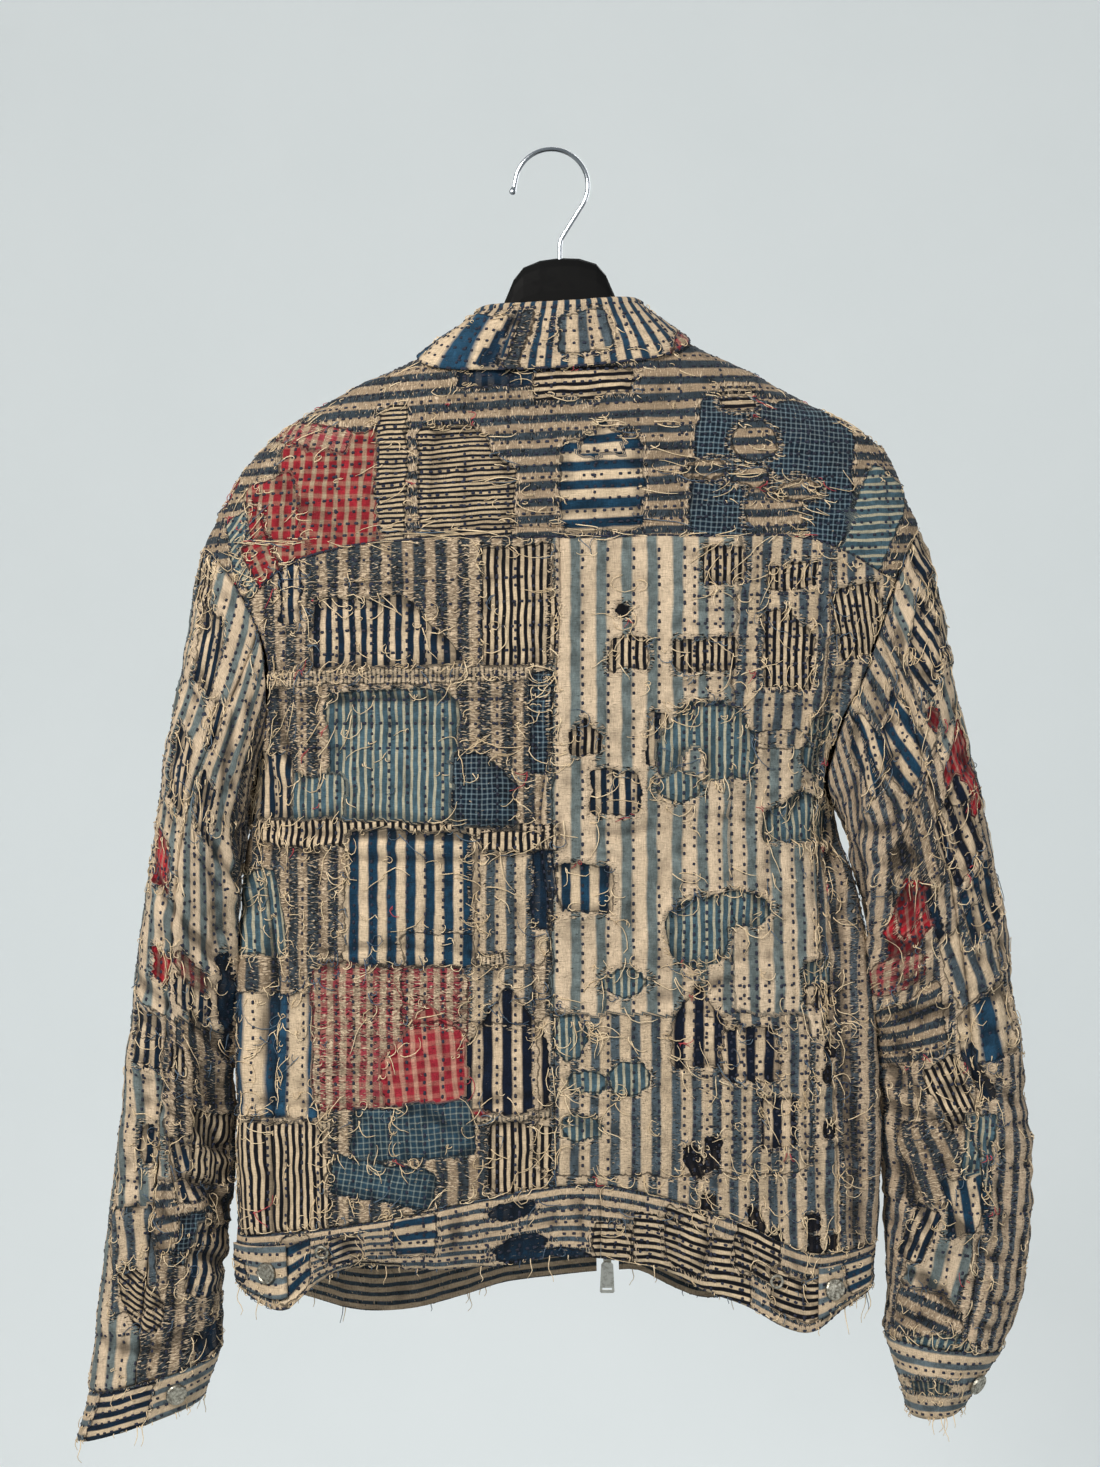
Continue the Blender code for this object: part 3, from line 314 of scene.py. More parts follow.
class DentRow(NamedTuple):
    """A large fold of the back: its middle, its reach, depth and slant."""

    x: float
    z: float
    across: float
    down: float
    depth: float
    slant: float


class CollarRow(NamedTuple):
    """A place round the collar: the fold's height and lean, the leaf's reach and lift."""

    round: float
    rise: float
    lean: float
    below: float
    off: float


@dataclass
class TorsoForm:
    """The torso's surface, read at a ring angle and a level.

    The angle is 0 at the centre back, 1 and -1 at the sides, 2 and -2 at the centre
    front. The rings are those of the solid, so the finished cloth lies on its form.
    """

    side_rounding: float = 2.6
    tilt: float = 0.052
    tilt_centre: float = 5.0
    tilt_top: float = -260.0
    tilt_end: float = -430.0
    neck_back: float = -142.0
    neck_side: float = -134.5
    neck_front: float = -196.0
    seam_end: float = -620.0
    seam_share: float = 0.67
    band_out: float = 0.5
    band_gap: float = 0.5
    lowest: float = -842.0      # the levels that the lengths are measured at, and their step
    highest: float = -122.0
    step: float = 4.0
    turn_end: float = 2.1       # the ring angles, 100 to each quarter turn
    seam_start: dict[int, float] = field(default_factory=lambda: {-1: -430.0, 1: -452.0})

    def __post_init__(self) -> None:
        """Works out the seams and the distances round the torso once."""
        self.curves = {(side, front): self.armhole(side, front) for side in SIDES for front in (False,
            True)}
        self.turns = np.linspace(-self.turn_end, self.turn_end, 421)
        self.yoke_levels = self.find_yoke_seam(self.turns)
        x = self.points(self.turns, -790.0)[..., 0]
        behind = np.abs(self.turns) > 1
        self.band_levels = {name: np.where(behind, read(BAND_FRONT, "x", name, x),
            read(BAND_BACK, "x", name, x)) for name in ("top", "bottom", "swing")}
        self.levels = np.linspace(self.lowest, self.highest, 181)
        ring = self.points(self.turns[None, :], self.levels[:, None])
        self.lengths = run_along(ring, 1)
        middle = np.abs(self.turns) < 0.9
        for row, line in zip(ring, self.lengths):
            line -= np.interp(0.0, row[middle, 0], line[middle])

    def around(self, u: Grid, level: Grid) -> Grid:
        """Gives the distance along the cloth from the middle of the back."""
        row = np.clip((level - self.lowest) / self.step, 0, len(self.levels) - 1.001)
        col = np.clip((u + self.turn_end) * 100, 0, len(self.turns) - 1.001)
        return sample(self.lengths[..., None], row, col)[..., 0]

    def tilted(self, points: Grid, level: Grid) -> Grid:
        """Turns points of the shoulders by the hang of the hanger."""
        share = fade(level, self.tilt_end, self.tilt_top)
        points[..., 2] += self.tilt * share * (points[..., 0] - self.tilt_centre)
        return points

    def untilted(self, x: Grid, z: Grid) -> Grid:
        """Gives the level that ends up at height z, at this x."""
        level = z
        for _ in range(8):
            level = z - self.tilt * fade(level, self.tilt_end, self.tilt_top) * (x - self.tilt_centre)
        return level

    def points(self, u: Grid, level: Grid) -> Grid:
        """Reads the surface.

        Args:
            u: ring angles.
            level: heights of the rings.

        Returns:
            Points in millimetres.
        """
        u, level = np.broadcast_arrays(np.asarray(u, float), np.asarray(level, float))
        left, right = read(TORSO, "z", "left", level), read(TORSO, "z", "right", level)
        across = np.sin(u * math.pi / 2)
        x = (left + right) / 2 + (right - left) / 2 * across
        inward = (1 - np.abs(across) ** self.side_rounding).clip(0) ** (1 / self.side_rounding)
        behind = np.cos(u * math.pi / 2) < 0
        back, front = read(TORSO, "z", "back", level), read(TORSO, "z", "front", level)
        y = np.where(behind, front, -back) * inward
        dent = np.zeros_like(x)
        for fold in BACK_FOLDS:
            aside = x - fold.x - fold.slant * (level - fold.z)
            dent += fold.depth * np.exp(-(aside / fold.across) ** 2 - ((level - fold.z) / fold.down) ** 2)
        y = y + np.where(behind, 0, dent * inward)
        return self.tilted(np.stack([x, y, level + 0 * x], axis=-1), level)

    def ring_angle(self, x: Grid, level: Grid, side: int, front: bool = False) -> Grid:
        """Gives the ring angle at which the torso has this x."""
        left, right = read(TORSO, "z", "left", level), read(TORSO, "z", "right", level)
        across = np.clip((x - (left + right) / 2) / ((right - left) / 2), -1, 1)
        turn = np.arcsin(across) * 2 / math.pi
        return 2 * side - turn if front else turn

    def armhole(self, side: int, front: bool) -> tuple[Grid, Grid]:
        """Gives the angles and levels of an armhole's edge, from shoulder to armpit."""
        rows = ARMHOLE[side]
        heights = np.linspace(rows[0].z, rows[-1].z, 61)
        edge = SIDES[side]
        ends = []
        for row in (rows[0], rows[-1]):
            level = float(row.z)
            for _ in range(8):
                level = self.untilted(read(TORSO, "z", edge, level), row.z)
            ends.append((row.z, float(read(TORSO, "z", edge, level))))
        table = [ends[0], *[(row.z, row.x) for row in rows[1:-1]], ends[1]]
        x = smooth(heights, np.array([z for z, _ in table], float), np.array([x for _, x in table]))
        levels = self.untilted(x, heights)
        angles = self.ring_angle(x, levels, side, front)
        angles[0] = angles[-1] = side
        return angles, levels

    def side_seam(self, side: int, front: bool, level: Grid) -> Grid:
        """Gives the ring angle of the seam between a side panel and its neighbour."""
        angles, levels = self.curves[side, False]
        begin = abs(np.interp(self.seam_start[side], levels[::-1], angles[::-1]))
        share = begin + (self.seam_share - begin) * fade(level, self.seam_start[side], self.seam_end)
        return side * (2 - share) if front else side * share

    def panel_side(self, side: int, front: bool, level: Grid) -> Grid:
        """Gives the ring angle of a panel's outer edge: ridge, armhole, side seam."""
        angles, levels = self.curves[side, front]
        hole = np.interp(level, levels[::-1], angles[::-1])
        reach = np.where(level < levels[0], hole, side)
        return np.where(level <= self.seam_start[side], self.side_seam(side, front, level), reach)

    def find_yoke_seam(self, u: Grid) -> Grid:
        """Works out the level of the yoke's lower seam."""
        level = np.full_like(u, -284.0)
        for _ in range(12):
            x = self.points(u, level)[..., 0]
            level = self.untilted(x, read(YOKE, "x", "z", x))
        return level

    def yoke_seam(self, u: Grid) -> Grid:
        """Gives the level of the yoke's lower seam at a ring angle."""
        return np.interp(u, self.turns, self.yoke_levels)

    def neck_seam(self, u: Grid) -> Grid:
        """Gives the level of the neck seam at a ring angle."""
        turn = np.abs(u)
        back = self.neck_back + (self.neck_side - self.neck_back) * fade(turn, 0, 1)
        front = self.neck_side + (self.neck_front - self.neck_side) * fade(turn, 1, 2.1)
        return np.where(turn <= 1, back, front)

    def band_edge(self, u: Grid, name: str) -> Grid:
        """Gives an edge of the waistband, or its swing, at a ring angle."""
        return np.interp(u, self.turns, self.band_levels[name])

    def band_top(self, u: Grid) -> Grid:
        """Gives the level of the seam between the panels and the waistband."""
        return self.band_edge(u, "top")

    def band(self, u: Grid, down: Grid) -> Grid:
        """Reads the waistband, with `down` 0 at its top edge and 1 at its lower one."""
        top, bottom = self.band_edge(u, "top") - self.band_gap, self.band_edge(u, "bottom")
        points = self.points(u, top + (bottom - top) * down)
        outward = np.sign(points[..., 1])
        swing = self.band_edge(u, "swing") * down ** 2
        behind = np.abs(u) > 1
        points[..., 1] += np.where(behind, -swing, swing) * np.minimum(1, np.abs(points[..., 1]) / 40)
        points[..., 1] += self.band_out * outward
        points[..., 0] += self.band_out * np.sin(np.asarray(u) * math.pi / 2)
        return points

    def zip_line(self, level: Grid) -> Grid:
        """Gives x of the zip's middle, which swings aside as the front hangs."""
        return 8 + 33 * fade(level, self.neck_front, -760)

    def front_edge(self, side: int, out: float, level: Grid) -> Grid:
        """Gives the ring angle of the front at `out` from the zip's middle."""
        return self.ring_angle(self.zip_line(level) + side * out, level, side, front=True)

    def armhole_ring(self, side: int, turn: Grid) -> Grid:
        """Gives the armhole's point at `turn` degrees: 0 the shoulder, 180 the armpit."""
        wrapped = (np.asarray(turn, float) + 180) % 360 - 180
        fraction = (1 - np.cos(np.radians(np.abs(wrapped)))) / 2
        result = []
        for front in (False, True):
            angles, levels = self.curves[side, front]
            steps = np.linspace(0, 1, len(levels))
            result.append(self.points(np.interp(fraction, steps, angles),
                np.interp(fraction, steps, levels)))
        return np.where((wrapped >= 0)[..., None], result[0], result[1])


@dataclass
class SleeveForm:
    """A sleeve's surface: rings that start on the armhole and end at the cuff."""

    torso: TorsoForm
    side: int
    armhole_gap: float = 1.3
    ring_power: float = 0.85

    def __post_init__(self) -> None:
        """Works out the first ring, how far down each ring lies, and the length round."""
        rows = SLEEVE[self.side]
        outer, inner = (self.torso.armhole_ring(self.side, turn) for turn in (0.0, 180.0))
        self.start = SleeveRow(outer[0], outer[2], inner[0], inner[2], rows[0].back, rows[0].front)
        middle = [(r.outer_x + r.inner_x, 0, r.outer_z + r.inner_z) for r in rows]
        reach = run_along(np.array([outer + inner, *middle]) / 2, 0)
        self.length = float(reach[-1])
        self.stations = reach / self.length
        self.turns = np.linspace(-120, 280, 201)
        ring = self.points(self.turns[None, :], np.linspace(0, 1, 101)[:, None])
        self.lengths = run_along(ring, 1)
        self.lengths -= self.lengths[:, 60:61]

    def ring(self, row: dict[str, Grid], turn: Grid) -> Grid:
        """Gives points of a ring from its six sizes and the degrees round it."""
        angle = np.radians(turn)
        spread, deep = np.cos(angle), np.sin(angle)
        x = (row["outer_x"] + row["inner_x"]) / 2 + (row["outer_x"] - row["inner_x"]) / 2 * spread
        z = (row["outer_z"] + row["inner_z"]) / 2 + (row["outer_z"] - row["inner_z"]) / 2 * spread
        y = np.where(deep >= 0, -row["back"], row["front"]) * np.abs(deep) ** self.ring_power
        return np.stack([x, y, z + 0 * x], axis=-1)

    def points(self, turn: Grid, down: Grid) -> Grid:
        """Reads the sleeve at `turn` degrees round and `down` from 0 to 1."""
        turn, down = np.broadcast_arrays(np.asarray(turn, float), np.asarray(down, float))
        table = [self.start, *SLEEVE[self.side]]
        row = {name: smooth(down, self.stations, column(table, name)) for name in SleeveRow._fields}
        shift = self.torso.armhole_ring(self.side, turn) - self.ring(self.start._asdict(), turn)
        points = self.ring(row, turn) + shift * (1 - fade(down, 0.0, 0.24))[..., None]
        dent = np.zeros_like(turn)
        for fold in SLEEVE_FOLDS[self.side]:
            aside = turn - fold.round - fold.slant * (down - fold.down) / fold.length * 0.5
            dent += fold.depth * np.exp(-(aside / fold.width) ** 2
                - ((down - fold.down) / fold.length) ** 2)
        dent = dent * fade(down, 0.02, 0.14) * fade(down, 1.0, 0.93)
        aside = self.armhole_gap * (0.3 + 0.7 * fade(down, 0.0, 0.05))
        points[..., 0] += self.side * (aside - dent * np.cos(np.radians(turn)))
        points[..., 1] += dent * np.sin(np.radians(turn))
        return points

    def cuff(self, turn: Grid, down: Grid) -> Grid:
        """Reads the cuff, with `down` 0 at the sleeve and 1 at its edge."""
        last, end = SLEEVE[self.side][-1], CUFF[self.side]
        row = {name: getattr(last, name) + (getattr(end, name) - getattr(last, name)) * down
            for name in SleeveRow._fields}
        points = self.ring(row, turn)
        points[..., 0] += self.side * self.armhole_gap
        return points

    def around(self, turn: Grid, down: Grid) -> Grid:
        """Gives the distance along the cloth from the sleeve's outer end."""
        row = np.clip(down * 100, 0, 99.999)
        return sample(self.lengths[..., None], row, (turn + 120) / 2)[..., 0]


@dataclass
class CollarForm:
    """The collar's surface: a stand that folds over into a leaf."""

    torso: TorsoForm
    fold_radius: float = 3.4
    cloth: float = 1.8
    hanger_x: float = 6.0
    seam_lift: float = 0.6
    stand_end: float = 0.30
    fold_end: float = 0.42

    def points(self, round_: Grid, along: Grid) -> Grid:
        """Reads the collar.

        Args:
            round_: -1 to 1 round the neck.
            along: 0 at the neck seam, up over the fold, to 1 at the leaf's edge.

        Returns:
            Points in millimetres.
        """
        round_, along = np.broadcast_arrays(np.asarray(round_, float), np.asarray(along, float))
        place = np.abs(round_)
        reach = 2 * round_ - 0.07 * np.sign(round_) * fade(place, 0.8, 1.0)
        level = self.torso.neck_seam(reach)
        seam = self.torso.points(reach, level)
        seam[..., 2] += self.seam_lift
        out = unit((seam - np.array([self.hanger_x, 0, 0])) * np.array([1, 1, 0]))
        up = np.array([0.0, 0.0, 1.0])
        parts = {name: read(COLLAR, "round", name, place)[..., None] for name in CollarRow._fields}
        radius = self.fold_radius
        base = seam - out * self.cloth * 0.4
        inner_top = base + out * (parts["lean"] - radius) + up * (parts["rise"] - radius)
        outer_top = inner_top + out * radius * 2
        under = level - parts["below"][..., 0]
        edge = self.torso.points(reach, under)
        across = self.torso.points(reach + 1e-3, under) - self.torso.points(reach - 1e-3, under)
        fall = self.torso.points(reach, under + 0.1) - self.torso.points(reach, under - 0.1)
        edge = edge + unit(np.cross(across, fall)) * parts["off"]
        t = along[..., None]
        stand = base + (inner_top - base) * np.clip(t / self.stand_end, 0, 1)
        bent = np.clip((t - self.stand_end) / (self.fold_end - self.stand_end), 0, 1)
        sweep = math.pi * (1 - bent)
        bend = inner_top + out * radius * (1 + np.cos(sweep)) + up * radius * np.sin(sweep)
        share = np.clip((t - self.fold_end) / (1 - self.fold_end), 0, 1)
        leaf = outer_top + (edge - outer_top) * share + out * 1.2 * np.sin(math.pi * share)
        return np.where(t < self.stand_end, stand, np.where(t < self.fold_end, bend, leaf))


def grid(across: Grid, down: Grid) -> list[Grid]:
    """Spreads values across a row and values down a column over one grid."""
    return np.broadcast_arrays(across[None, :], down[:, None])


def sample(grid: Grid, row: Grid, col: Grid) -> Grid:
    """Reads a grid between its rows and columns.

    Args:
        grid: values by row, column and part.
        row: places along the rows.
        col: places along the columns.

    Returns:
        The values there, each weighed from its four neighbours.
    """
    row = np.clip(row, 0, grid.shape[0] - 1.0001)
    col = np.clip(col, 0, grid.shape[1] - 1.0001)
    r, c = row.astype(int), col.astype(int)
    a, b = (row - r)[..., None], (col - c)[..., None]
    above = grid[r, c] * (1 - b) + grid[r, c + 1] * b
    below = grid[r + 1, c] * (1 - b) + grid[r + 1, c + 1] * b
    return above * (1 - a) + below * a


def region(left: Callable, right: Callable, top: Callable, bottom: Callable, columns: int,
        rows: int) -> tuple[Grid, Grid]:
    """Fills the space between four edges of the torso.

    Args:
        left: ring angle of the left edge at a level.
        right: the same of the right edge.
        top: level of the upper edge at a ring angle.
        bottom: the same of the lower edge.
        columns: how many columns of points.
        rows: how many rows.

    Returns:
        Ring angles and levels by row and column.
    """
    s, t = np.linspace(0, 1, columns)[None, :], np.linspace(0, 1, rows)[:, None]
    level = np.full((rows, columns), -400.0)
    u = left(level) + (right(level) - left(level)) * s
    for _ in range(50):
        level = 0.5 * level + 0.5 * (top(u) + (bottom(u) - top(u)) * t)
        u = left(level) + (right(level) - left(level)) * s
    return u, level


TORSO = rows(TorsoRow, (-134, -72, 84, 45, 38), (-143, -92, 97, 48, 42), (-152, -113, 113, 51, 45),
    (-161, -136, 131, 53, 47), (-170, -155, 148, 55, 49), (-183, -178, 169, 57, 50),
    (-195, -197, 190, 58, 51), (-204, -207, 208, 59, 52), (-214, -216, 223, 60, 52),
    (-228, -225, 236, 60, 53), (-245, -234, 246, 61, 53), (-262, -242, 252, 61, 54),
    (-282, -250, 261, 62, 54), (-320, -246, 258, 62, 54), (-370, -231, 238, 62, 53),
    (-434, -210, 204, 60, 51), (-475, -211, 196, 59, 50), (-534, -215, 211, 59, 50),
    (-605, -220, 223, 60, 50), (-684, -224, 229, 61, 50), (-770, -224, 230, 61, 50),
    (-830, -220, 228, 58, 48))
ARMHOLE = {
    -1: rows(ArmholeRow, (-283, None), (-296, -232), (-318, -217), (-348, -203), (-374, -199), (-404, -200),
        (-424, -203), (-436, None)),
    1: rows(ArmholeRow, (-268, None), (-284, 252), (-310, 241), (-340, 231), (-372, 220), (-402, 206),
        (-430, 197.5), (-452, 194), (-463, None)),
}
YOKE = rows(SeamRow, (-216, -326), (-190, -303), (-146, -287), (-104, -282), (0, -280), (102, -279),
    (196, -285), (226, -300), (246, -313))
BAND_BACK = rows(BandRow, (-226, -768, -806, 0), (-209, -766, -812, -4), (-184, -762, -814, -9),
    (-168, -760, -801, 0), (-148, -757, -790, 10), (-105, -749, -788, 12), (-56, -738, -786, 9),
    (-22, -731, -781, 6), (3, -727, -777, 4), (34, -726, -778, 4), (75, -734, -786, 8),
    (108, -745, -802, 4), (137, -756, -812, -3), (160, -768, -824, -9), (182, -777, -829, -10),
    (205, -777, -817, -2), (229, -774, -806, 0))
BAND_FRONT = rows(BandRow, (-224, -764, -808, 0), (-178, -780, -824, 0), (-146, -790, -834, 2),
    (-110, -791, -835, 4), (-64, -781, -825, 2), (-38, -773, -817, 0), (0, -768, -812, 0),
    (40, -764, -808, 0), (66, -764, -808, 0), (84, -773, -817, 2), (108, -782, -826, 4),
    (140, -779, -823, 2), (180, -766, -810, 0), (229, -760, -804, 0))
SLEEVE = {
    -1: rows(SleeveRow, (-253, -320, -213, -456, 56, 50), (-262, -370, -215, -484, 58, 52),
        (-273, -434, -219, -520, 57, 52), (-284, -513, -224, -572, 54, 50),
        (-297, -613, -229, -650, 47, 47), (-309, -719, -230, -729, 42, 44),
        (-319, -798, -231, -793, 38, 40), (-327, -882, -235, -855, 34, 36)),
    1: rows(SleeveRow, (270, -300, 205, -478, 56, 50), (282, -360, 211, -500, 58, 52),
        (292, -409, 217, -522, 57, 52), (309, -484, 224, -560, 54, 50), (323, -563, 232, -610, 49, 48),
        (334, -655, 237, -664, 44, 46), (341, -727, 238, -724, 41, 43), (333, -812, 237, -794, 38, 40),
        (320, -852, 236, -842, 36, 38)),
}
CUFF = {-1: SleeveRow(-336, -917, -247, -888, 32, 33), 1: SleeveRow(291, -893, 253, -898, 32, 33)}
SLEEVE_FOLDS = {
    -1: rows(FoldRow, (0.66, 74, 0.22, 17, 9.0, 0), (0.40, 110, 0.16, 15, 4.5, 40),
        (0.86, 120, 0.08, 22, 4.0, -60)),
    1: rows(FoldRow, (0.26, 118, 0.14, 18, 5.0, 40), (0.44, 96, 0.14, 18, 4.5, 50),
        (0.72, 60, 0.20, 15, 5.0, -40), (0.90, 100, 0.07, 24, 5.0, 60)),
}
BACK_FOLDS = rows(DentRow, (-205, -560, 14, 110, 4.5, 0.05), (206, -560, 13, 100, 5.0, -0.10),
    (-40, -420, 150, 12, 2.0, 0.0), (150, -330, 16, 60, 3.0, 0.45), (-150, -350, 16, 60, 3.0, -0.45),
    (165, -700, 18, 70, 3.5, -0.15))
COLLAR = rows(CollarRow, (0.00, 27, 1, 21, 3.2), (0.20, 26, -6, 19, 3.2), (0.34, 22, -16, 13, 3.3),
    (0.43, 20, -22, 9, 3.4), (0.50, 19, -24, 7, 3.6), (0.58, 18.5, -22, 10, 3.6), (0.70, 20, -12, 24, 3.4),
    (0.85, 20, -2, 42, 3.6), (1.00, 16, 3, 40, 3.6))


# ---- fabrics and patches

@dataclass(frozen=True)
class Weave:
    """One cotton: its ground and stripe colours, the stripes' pitch and width, how far
    it is a check (0 is stripes alone, 1 as many across), and how worn it is."""

    ground: str
    stripe: str
    pitch: float
    share: float
    check: float = 0.0
    wear: float = 0.1


class Fabric(Enum):
    """The cottons that the jacket is patched from."""

    WIDE = Weave("#CBB79D", "#5D6767", 17.6, 0.42, wear=0.08)
    BORO = Weave("#917F69", "#31393F", 15.2, 0.54, wear=0.82)
    HOMESPUN = Weave("#B8A38B", "#485158", 11.5, 0.48, wear=0.84)
    BORO_PALE = Weave("#C3AF94", "#424D54", 14.0, 0.47, wear=0.48)
    SHOULDER = Weave("#9A8770", "#2E373E", 11.6, 0.50, wear=0.62)
    BAND = Weave("#BFAA8F", "#39444C", 7.6, 0.46, wear=0.58)
    FRINGE = Weave("#B9A78D", "#6B665C", 3.0, 0.40, wear=0.95)
    NAVY = Weave("#CCB89C", "#0C1E2E", 8.3, 0.54, wear=0.08)
    BLACK = Weave("#C9B598", "#080A11", 5.2, 0.52, wear=0.08)
    TEAL = Weave("#ABA792", "#3B515B", 5.4, 0.66, wear=0.16)
    BLUE = Weave("#CDB99D", "#143145", 13.2, 0.52, wear=0.12)
    INK = Weave("#CBB69A", "#0A1322", 13.6, 0.52, wear=0.10)
    BROAD = Weave("#CDB99D", "#1C3B51", 31.6, 0.50, wear=0.12)
    DARK = Weave("#122C40", "#0E2233", 9.0, 0.5, wear=0.16)
    CHECK = Weave("#6A7F89", "#0C1926", 3.6, 0.72, check=1.0, wear=0.16)
    PANE = Weave("#7F8B88", "#1F3543", 4.2, 0.78, check=1.0, wear=0.26)
    PIN = Weave("#BBA88B", "#0D1119", 3.4, 0.50, wear=0.16)
    COLLAR = Weave("#C5B196", "#1C3446", 8.6, 0.46, wear=0.26)
    CUFF = Weave("#C6B297", "#525D62", 11.0, 0.42, wear=0.20)
    RED = Weave("#A5776B", "#951A26", 7.4, 0.68, check=0.6, wear=0.20)
    GINGHAM = Weave("#9A8A73", "#7A1C25", 8.8, 0.64, check=0.62, wear=0.10)
    ROSE = Weave("#B48775", "#80212C", 9.0, 0.62, check=0.55, wear=0.14)
    PINK = Weave("#A08D76", "#82303A", 9.4, 0.50, check=0.6, wear=0.74)
    # Painted shade: near-black drawn where the cloth has small holes, standing for the dark inside of the
    # jacket seen through them.
    HOLE = Weave("#10141F", "#0A0D15", 5.0, 0.50, wear=0.12)


class Outline(Enum):
    """The shape of a patch or of a torn window."""

    BOX = "box"
    OVAL = "oval"
    ARCH = "arch"
    WEDGE = "wedge"
    BEAN = "bean"
    CHOP = "chop"


class Zone(Enum):
    """A part of the jacket whose pieces share one measure round and down."""

    YOKE = "yoke"
    BACK = "back"
    FRONT = "front"
    BAND = "band"
    SLEEVE_LEFT = "sleeve_left"
    SLEEVE_RIGHT = "sleeve_right"
    CUFF_LEFT = "cuff_left"
    CUFF_RIGHT = "cuff_right"
    COLLAR = "collar"
    TAB_LEFT = "tab_left"
    TAB_RIGHT = "tab_right"


class Patch(NamedTuple):
    """A patch, or a window torn through to one: where its middle is seen, its size, how
    far its stripes turn from the way down, how far all of it leans, and how deep it
    lies. A depth below 0 lies on top."""

    fabric: Fabric
    x: float
    z: float
    width: float
    height: float
    outline: Outline = Outline.BOX
    turn: float = 0.0
    lean: float = 0.0
    depth: float = 0.8

    def distance(self, p: Grid, q: Grid, width: float) -> Grid:
        """Gives how far points lie outside the outline, negative inside.

        Args:
            p: distance across from the middle.
            q: distance down from the middle.
            width: its width on the cloth.

        Returns:
            Distances in millimetres.
        """
        half, tall = width / 2, self.height / 2
        corner = min(half, tall) * 0.22
        over = np.stack([np.abs(p) - half + corner, np.abs(q) - tall + corner], axis=-1)
        box = norm(over.clip(0)) + over.max(axis=-1).clip(max=0) - corner
        small = min(half, tall)
        if self.outline is Outline.BOX:
            return box
        if self.outline is Outline.ARCH:
            dome = (np.hypot(p / (half * 1.08), (q - tall) / (tall * 2.02)) - 1) * half
            return np.maximum(box, dome)
        if self.outline is Outline.WEDGE:
            slope = (np.abs(p) * tall * 0.9 - (q + tall) * half) / math.hypot(tall, half)
            return np.maximum(box, slope)
        if self.outline is Outline.CHOP:
            return np.maximum(box, (1.1 * p - q - half * 0.35 - tall * 0.75) / 1.49)
        if self.outline is Outline.OVAL:
            return (np.hypot(p / half, q / tall) - 1) * small
        lobe = (np.hypot((p + half * 0.40) / (half * 0.58), (q - tall * 0.06) / (tall * 0.94)) - 1) * small
        arm = (np.hypot((p - half * 0.24) / (half * 0.76), (q + tall * 0.52) / (tall * 0.46))
            - 1) * small * 0.6
        return np.minimum(lobe, arm)


F, O, Z = Fabric, Outline, Zone

# Larger stretches of another cotton, under the patches.
FIELDS = {
    Z.YOKE: [Patch(F.TEAL, -212, -290, 26, 70, turn=62, lean=22, depth=-0.3),
        Patch(F.TEAL, 230, -262, 34, 70, turn=58, lean=-30, depth=-0.3),
        Patch(F.CHECK, 160, -228, 112, 100, lean=-6, depth=0.2)],
    Z.BACK: [Patch(F.WIDE, 72, -470, 137, 395, depth=-0.2), Patch(F.BORO_PALE, 165, -330, 66, 150, lean=-3,
        depth=0.1), Patch(F.WIDE, 160, -530, 62, 200, lean=1, depth=-0.1),
        Patch(F.BORO_PALE, 90, -672, 190, 110, depth=0.1), Patch(F.BORO_PALE, -60, -590, 90, 60, depth=0.0),
        Patch(F.BORO_PALE, -30, -534, 50, 92, depth=0.0)],
    Z.SLEEVE_LEFT: [Patch(F.TEAL, -232, -290, 30, 44, turn=80, lean=30, depth=-0.2),
        Patch(F.WIDE, -250, -436, 100, 340, depth=-0.2), Patch(F.WIDE, -294, -694, 46, 110, lean=8,
        depth=-0.2), Patch(F.BORO, -240, -668, 36, 90, lean=4, depth=0.1),
        Patch(F.SHOULDER, -262, -760, 40, 50, turn=84, lean=6, depth=0.0),
        Patch(F.BORO_PALE, -300, -790, 34, 70, lean=10, depth=0.1)],
    Z.SLEEVE_RIGHT: [Patch(F.WIDE, 284, -350, 70, 130, lean=-8, depth=-0.2),
        Patch(F.WIDE, 278, -790, 40, 150, lean=4, depth=-0.2), Patch(F.BORO_PALE, 240, -400, 50, 120,
        lean=-20, depth=0.0), Patch(F.BORO, 262, -505, 52, 66, lean=-14, depth=0.1),
        Patch(F.SHOULDER, 252, -628, 44, 54, turn=82, lean=-10, depth=0.0),
        Patch(F.BORO_PALE, 300, -575, 40, 52, lean=-16, depth=0.1),
        Patch(F.BORO, 276, -720, 54, 62, turn=8, lean=-12, depth=0.1),
        Patch(F.SHOULDER, 262, -845, 44, 56, turn=86, lean=6, depth=0.0)],
    Z.BAND: [Patch(F.BLACK, 100, -790, 80, 40, turn=80, depth=0.0)],
}

